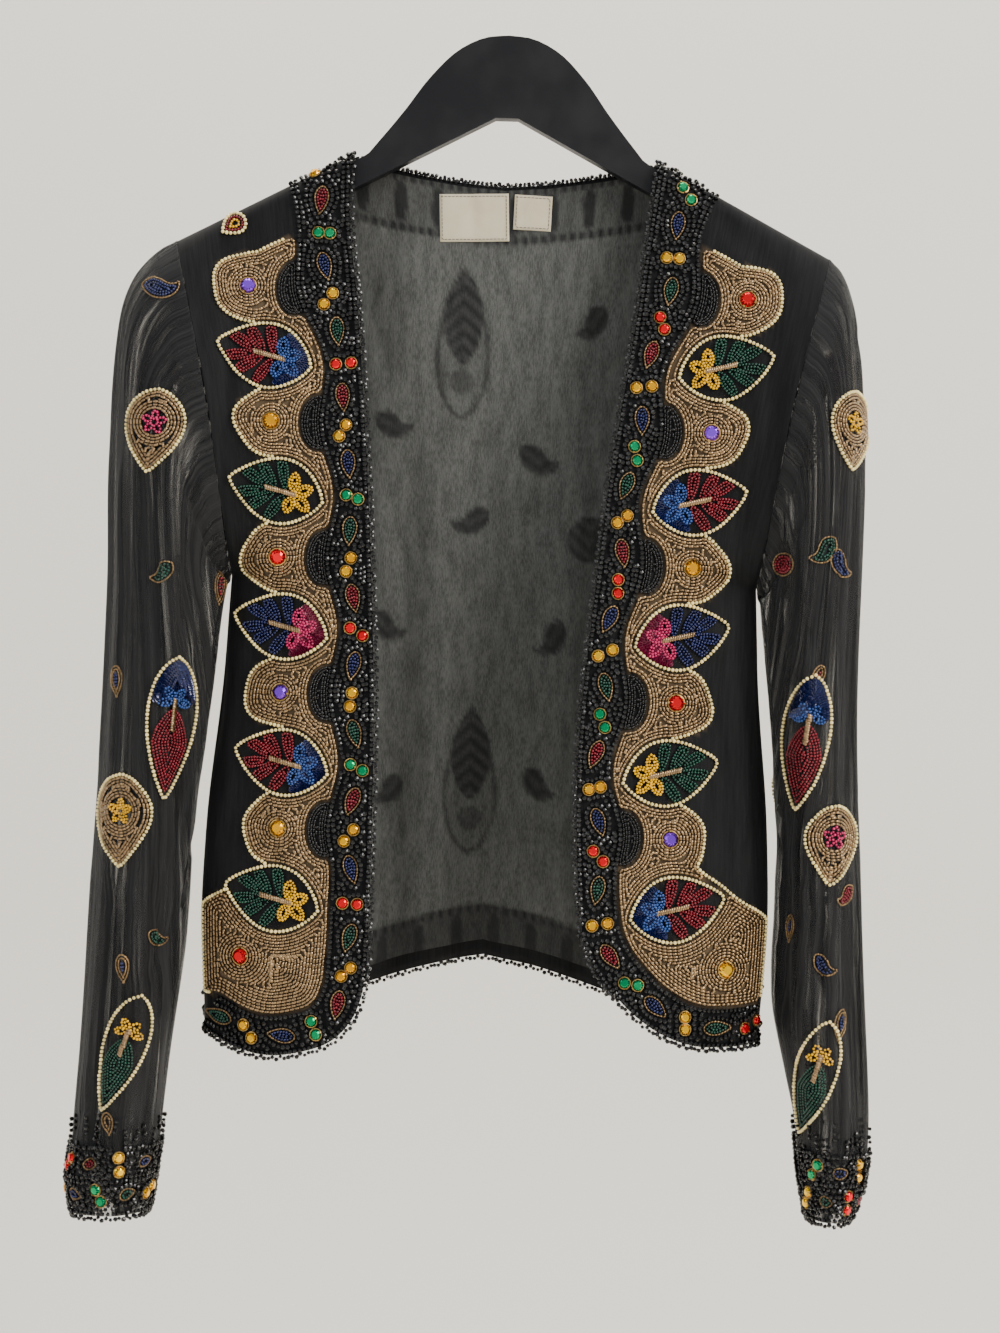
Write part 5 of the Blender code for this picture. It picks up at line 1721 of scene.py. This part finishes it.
def cut_glass():
    shape = bmesh.new()
    levels = [level_ring(shape, CUT_SIDES, *row)
              for row in ((0.55, 0.62), (0.82, 0.42, 0.5), (1.0, 0.12), (0.96, -0.05))]
    shape.faces.new(levels[0])
    shape.faces.new(levels[-1][::-1])
    table, crown, girdle, foot = levels
    for k in range(CUT_SIDES):
        n = (k + 1) % CUT_SIDES
        shape.faces.new((table[k], crown[k], table[n]))
        shape.faces.new((crown[k], crown[n], table[n]))
        shape.faces.new((crown[k], girdle[k], girdle[n]))
        shape.faces.new((crown[k], girdle[n], crown[n]))
        shape.faces.new((girdle[k], foot[k], foot[n], girdle[n]))
    # each face gets a painted glint: a brightness, from dark to bright, that the glass finish multiplies into
    # the stone's colour
    facet_glint = shape.faces.layers.float.new("facet")
    for number, face in enumerate(shape.faces):
        face[facet_glint] = 0.9 + 0.7 * math.sin(2.6 * number + 0.7)
    return template("cut_glass", shape, False)


def cup():
    shape = bmesh.new()
    rings = [level_ring(shape, CUT_SIDES, *row)
             for row in ((1.02, -0.2), (1.16, -0.16), (1.14, 0.08), (1.02, 0.1))]
    for first, second in zip(rings, rings[1:] + rings[:1]):
        for k in range(CUT_SIDES):
            n = (k + 1) % CUT_SIDES
            shape.faces.new((first[k], first[n], second[n], second[k]))
    for claw in range(4):
        a = math.pi / 2 * claw + 0.4
        out, over = Vector((math.cos(a), math.sin(a), 0)), Vector((-math.sin(a), math.cos(a), 0))
        thick = Vector((0, 0, 0.1)) + out * 0.06
        sections = [[shape.verts.new(out * r + Vector((0, 0, z)) + over * 0.12 * s + thick * t)
                     for s, t in ((-1, 0), (1, 0), (1, 1), (-1, 1))]
                    for r, z in ((1.15, -0.05), (1.12, 0.22), (0.9, 0.42))]
        walls(shape, sections)
        shape.faces.new(sections[0])
        shape.faces.new(sections[-1][::-1])
    return template("cup", shape, False)


def stone_tree():
    tree, given, made = new_tree("set stones", Places="Geometry", Bead="Object", Seed="Int",
                                 Finish="Material")
    facing = standing(tree, carried(tree, "lay", "FLOAT_VECTOR"), carried(tree, "spin", "FLOAT_VECTOR"))
    return set_with_tone(tree, given, made, given["Places"], facing, carried(tree, "size", "FLOAT"))


STONES = stone_tree()
settings = {}
for where, rows in sorted(stones.items()):
    spots, up, radii, colours = zip(*rows)
    turns = [(math.cos(1.7 * k), 0.0, math.sin(1.7 * k)) for k in range(len(rows))]
    glass_tones = [STONE_COLOURS[colour] for colour in colours]
    for kind, bead, look, tones in (("cut_stones", cut_glass(), "cut_glass", glass_tones),
                                    ("stone_cups", cup(), "cups", [BRASS_TONE] * len(rows))):
        name = f"{where}_{kind}"
        mesh = marked_mesh(name + "_places", spots, [], tones, lay=up, spin=turns, size=radii)
        settings[name] = grown(name, mesh, STONES, bead, Seed=5, Finish=FINISHES[look])
print("stone pieces:", sorted(settings))

# %% [markdown]
# Through the open front one sees the lining inside the back. The silk is thin and the beadwork
# outside is heavy, so each motif, and both beaded bands, show through as soft dark shadows. The
# shadow is worked out at each point of a fine sheet from the same outlines that the beads follow.

# %% The lining and its shadows
LINING_DEPTH = 2.1 * MM
# rows, neck and shoulder columns of the fine sheet, and how much of its rim is left off
LINING_GRID, LINING_INSIDE = (204, 46, 40), (slice(3, -4), slice(8, -8))


def shadow_of(x, z):
    """How dark the beadwork behind makes each spot of the lining, from 0 to 1."""
    made = np.zeros(x.shape)

    def darken(outline, lean, middle, strength, ribs=0.0, rim=False):
        nonlocal made
        depth = inside_by(turned(outline, lean) + middle, x, z)
        if rim:
            made = np.maximum(made, strength * ease(1.5 - np.abs(depth - 1.4) / 1.5))
        cut = turned(np.stack([x.ravel() - middle[0], z.ravel() - middle[1]], 1), -lean)
        cut = cut.reshape(*x.shape, 2)
        wave = ribs * np.sin((cut[..., 1] - 0.9 * np.abs(cut[..., 0])) * 2 * math.pi / 9.5)
        made = np.maximum(made, ease((depth + 0.8) / 2.0) * ((0.14 if rim else strength) + wave))

    for mx, mz, lean, kind, size, _, *second in BACK_MOTIFS:
        if kind == "petal":
            darken(petal_outline((0, 0), size, size * SHADOW_WIDTH), lean, (mx, mz), 0.55, rim=True)
            to = along_petal(size)
            darken(to(blade_of(size, size * SHADOW_WIDTH)), lean, (mx, mz), 0.74, 0.14)
            darken(to(round_outline((0.25 * size, 0), 0.085 * size)), lean, (mx, mz), 0.5)
        elif kind == "paisley":
            darken(paisley_outline(size, -1 if second else 1), lean, (mx, mz), 0.72, 0.1)
        else:
            outline = round_outline((0, 0), size / 2)
            if kind == "medallion":
                outline = petal_outline((0, 0), size, size * MEDALLION_WIDTH)
            darken(outline, lean, (mx, mz), 0.62, 0.12)
    above_hem = z - np.interp(x, hem[:, 0], hem[:, 1])
    below_neck = np.interp(x, neck[:, 0], neck[:, 1]) - z
    for away, width, ground in ((above_hem, BACK_BAND, 0.62), (below_neck, NECK_BAND, 0.3)):
        dots = 0.5 + 0.5 * np.sin(x * 2 * math.pi / 6.0)
        rows = np.maximum(ease(1.6 - np.abs(away - width + 2.5) / 2.6), ease(1.4 - np.abs(away - 3) / 4.0))
        blots = ease((np.sin(x * 2 * math.pi / 24) * np.sin(math.pi * away / width) - 0.3) / 0.3)
        made = np.maximum(made, rows * (0.35 + 0.6 * dots) * (away > -2))
        made = np.maximum(made, 0.85 * blots * (away > 0) * (away < width))
        made = np.maximum(made, ground * (away > -2) * (away < width))
    return np.clip(made, 0, 0.93)


fine_back = creased_body(back_grid(*LINING_GRID), BACK_CREASES, 1, BACK_WAVES)
inside = (fine_back - normals_of(fine_back) * LINING_DEPTH)[LINING_INSIDE]
shadow = shadow_of(inside[..., 0] / MM, inside[..., 2] / MM)
lining = cloth("back_lining_cloth", inside[:, ::-1], shade=shadow[:, ::-1], wall=None)
print("lining points:", len(lining.data.vertices))

# %% [markdown]
# Two labels are sewn inside the neck. They are woven tape, left bare, and held by a stitch line
# round their edges. Each is laid on the lining by looking straight at it from the front.

# %% The bare labels
# distance and height of the middle, width, height and lean
LABELS = (("neck_label", -19, -60, 44, 30, 0.04), ("care_label", 18, -56, 24, 22, -0.03))
lining_tree = tree_of(inside)
label_look, tree, shader = finish("woven label tape", (0.74, 0.66, 0.47), 0.85, sheen_weight=0.2)
weave_at = here_on(tree, "UV")
warp = node(tree, "ShaderNodeTexWave", [("Vector", weave_at), ("Scale", 700.0), ("Distortion", 1.2)])
weft = node(tree, "ShaderNodeTexWave", [("Vector", weave_at), ("Scale", 500.0), ("Distortion", 1.0)],
            bands_direction="Y")
weave = math_node(tree, "MULTIPLY", warp.outputs[1], weft.outputs[1])
stain = noise(tree, weave_at, 55)
plain = mixed(tree, weave, (0.60, 0.52, 0.36), (0.80, 0.72, 0.54))
tree.links.new(mixed(tree, remap(tree, stain, 0.45, 0.75, 0.0, 0.5), plain, (0.50, 0.40, 0.25)),
               shader.inputs["Base Color"])
bumped(tree, shader, weave, 0.15 * MM, 0.7)
labels = {}
for name, x, z, width, height, lean in LABELS:
    over, down = np.meshgrid(np.linspace(-width / 2, width / 2, 30), np.linspace(height / 2, -height / 2, 22))
    flat = turned(np.stack([over.ravel(), down.ravel()], 1), lean) + (x, z)
    spots, _, met = flat_place(lining_tree, 1, 1)(flat)
    print(name, "points that miss the lining:", int((~met).sum()))
    edge = np.maximum(np.abs(over) / (width / 2), np.abs(down) / (height / 2)).ravel()
    lift = 0.5 + 0.7 * (1 - edge**4) + 0.25 * np.sin(flat[:, 0] / 5.0)
    points = (spots - np.array([0, 1, 0]) * (lift * MM)[:, None]).reshape(*over.shape, 3)
    labels[name] = cloth(name + "_tape", points, wall=0.35 * MM)
    labels[name].data.materials.append(label_look)
    rim = np.array([(-1, 1), (1, 1), (1, -1), (-1, -1), (-1, 1)]) * (width / 2 - 1.6, height / 2 - 1.6)
    stitch_at = flat_place(tree_of(points), 1, 1)
    sew(f"{name}_stitches", turned(spaced(rim, 1.0), lean) + (x, z), stitch_at, (0.10, 0.09, 0.08))
stitch = tube_bead("stitch", 1.7 * MM, 0.2 * MM, 5)
thread_look, tree, shader = finish("sewing thread", (0.1, 0.09, 0.08), 0.8)
twist = node(tree, "ShaderNodeTexWave", [("Vector", here_on(tree)), ("Scale", 900.0)]).outputs[1]
tree.links.new(mixed(tree, twist, (0.05, 0.045, 0.04), (0.16, 0.14, 0.12)), shader.inputs["Base Color"])
for name in [row[0] + "_stitches" for row in LABELS]:
    labels[name] = grown(name, thread_mesh(name + "_line", threads[name]), THREADS, stitch, Pitch=2.4 * MM,
                         Spread=0.05, Sway=0.05, Seed=2, Finish=thread_look)
print("labels:", sorted(labels))

# %% [markdown]
# The hanger is plain, and its solid already has the right shape, so it keeps its own mesh and only
# gets a finish: satin black paint, duller where hands and collars rub it.

# %% The hanger's paint
paint, tree, shader = finish("satin black paint", (0.0105, 0.0105, 0.0115), 0.42, specular_ior_level=0.3)
rub = noise(tree, here_on(tree), 16, 4.0, 0.6)
speck = noise(tree, here_on(tree), 900, 2.0)
tree.links.new(mixed(tree, remap(tree, rub, 0.45, 0.75, 0.0, 1.0), (0.005, 0.005, 0.006),
                     (0.013, 0.013, 0.014)), shader.inputs["Base Color"])
tree.links.new(remap(tree, rub, 0.35, 0.7, 0.34, 0.58), shader.inputs["Roughness"])
bumped(tree, shader, speck, 0.05 * MM, 0.4)
hanger = frame["nodes"]["hanger"]
hanger.data.materials.clear()
hanger.data.materials.append(paint)
print("hanger faces:", len(hanger.data.polygons))

# %% [markdown]
# Now each piece rides on its body, the solids that it stands for are hidden, and for cloth, how
# large it was cut is printed. The jacket has no joints, so all of it rides on one body.

# %% What each piece stands for
STANDS_FOR = {"back_jet_beads": ("back_neck_band", "back_hem_band"),
              "back_seeds": ("back_upper_petal", "back_lower_petal")}
for side in SIDES:
    STANDS_FOR[f"{side}_jet_beads"] = (f"{side}_front_band", f"{side}_cuff")
    STANDS_FOR[f"{side}_gold_tubes"] = (f"{side}_gold_border", f"{side}_upper_medallion",
                                        f"{side}_lower_medallion")
    STANDS_FOR[f"{side}_seeds"] = (f"{side}_long_petal", f"{side}_wrist_petal")
    STANDS_FOR[f"{side}_cut_stones"] = tuple(f"{side}_stone_{k}" for k in range(1, 7))
sewn = {**beadwork, **settings}
for piece in [*sewn.values(), *labels.values(), lining]:
    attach(piece, "root")
for name, nodes in STANDS_FOR.items():
    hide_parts(*nodes)
for name, *_ in LABELS:
    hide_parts(name)
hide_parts("back_lining")
lining.data.materials.append(FINISHES["lining"])

# %% How each cloth was cut


def declare(piece, points, closed=False):
    """Prints how large a cloth was cut, from its own widths and lengths."""
    width, length, area = cut_of(points, closed)
    area = min(area, 0.999 * width * length)
    print(piece.name, "cut:", round(width * 1000), "x", round(length * 1000), "mm")


GRIDS = {"back": back, "right_front": fronts["right"], "left_front": fronts["left"],
         "right_sleeve": sleeves["right"], "left_sleeve": sleeves["left"]}
for name, piece in pieces.items():
    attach(piece, "root")
    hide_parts(name)
    sheer = name.endswith("sleeve")
    piece.data.materials.append(FINISHES["sheer" if sheer else "silk"])
    where = name.split("_")[0]
    declare(piece, GRIDS[name], sheer)
declare(lining, inside)

# %% [markdown]
# The camera stands level with the middle of the jacket, as the photograph's did, and is rolled a
# little. Floor and wall are one pale sheet with a round corner, so that no line shows behind the
# jacket, and seen from behind the sheet is clear, so that the jacket's back can be looked at too.
# Large lamps give soft light, as from a window at one side.

# %% Camera
ROLL = math.radians(1.62)
camera = bpy.data.objects.new("camera", bpy.data.cameras.new("camera"))
bpy.context.scene.collection.objects.link(camera)
camera.matrix_world = Matrix(((math.cos(ROLL), -math.sin(ROLL), 0, 0.0053), (0, 0, -1, -1.9),
                              (math.sin(ROLL), math.cos(ROLL), 0, -0.3443), (0, 0, 0, 1)))
camera.data.lens, camera.data.sensor_width, camera.data.sensor_fit = 81.45, 36, "AUTO"
camera.data.clip_start, camera.data.clip_end = 0.05, 50
bpy.context.scene.camera = camera

# %% Stage and lamps
FLOOR_Z, WALL_Y, CORNER_RADIUS, STAGE_HALF = -1.1, 1.2, 0.5, 5.0
bend = np.linspace(0, math.pi / 2, 20)
profile = ([(-6.0, FLOOR_Z)] + [(WALL_Y - CORNER_RADIUS + CORNER_RADIUS * math.sin(a),
                                 FLOOR_Z + CORNER_RADIUS - CORNER_RADIUS * math.cos(a)) for a in bend]
           + [(WALL_Y, 4.0)])
stage_mesh = bpy.data.meshes.new("stage")
stage_mesh.from_pydata([(x, y, z) for y, z in profile for x in (-STAGE_HALF, STAGE_HALF)], [],
                       [(2 * k, 2 * k + 1, 2 * k + 3, 2 * k + 2) for k in range(len(profile) - 1)])
stage_mesh.shade_smooth()
stage = add_piece("stage", stage_mesh)
wall_look, tree, shader = finish("pale wall", (0.85, 0.83, 0.78), 0.9)
drift = noise(tree, here_on(tree), 0.8, 2.0)
tree.links.new(mixed(tree, drift, (0.85, 0.815, 0.725), (0.88, 0.855, 0.79)), shader.inputs["Base Color"])
behind = node(tree, "ShaderNodeNewGeometry").outputs["Backfacing"]
tree.links.new(math_node(tree, "SUBTRACT", 1.0, behind), shader.inputs["Alpha"])
stage.data.materials.append(wall_look)

world = bpy.data.worlds.new("soft room")
bpy.context.scene.world = world
world.use_nodes = True
background = world.node_tree.nodes["Background"].inputs
background["Color"].default_value, background["Strength"].default_value = (0.92, 0.94, 1.0, 1), 0.72


def lamp(name, place, aim, size, power, colour):
    light = bpy.data.lights.new(name, "AREA")
    light.shape, light.size, light.energy, light.color = "SQUARE", size, power, colour
    made = bpy.data.objects.new(name, light)
    bpy.context.scene.collection.objects.link(made)
    made.location = place
    made.rotation_euler = (Vector(aim) - Vector(place)).to_track_quat("-Z", "Y").to_euler()


# place, what it is turned to, size in metres, watts and colour
lamp("window", (2.1, -1.7, 1.2), (0, 0, -0.35), 1.4, 98, (1.0, 0.97, 0.93))
lamp("room", (-2.4, -1.9, 0.6), (0, 0, -0.35), 1.8, 22, (0.95, 0.97, 1.0))
lamp("sky", (0.2, 0.3, 2.4), (0, 0, -0.3), 1.6, 16, (1.0, 1.0, 1.0))
lamp("wall wash", (-0.3, 0.6, 1.7), (0, 1.2, -0.3), 1.2, 27, (1.0, 0.93, 0.80))
print("lamps:", len(bpy.data.lights))
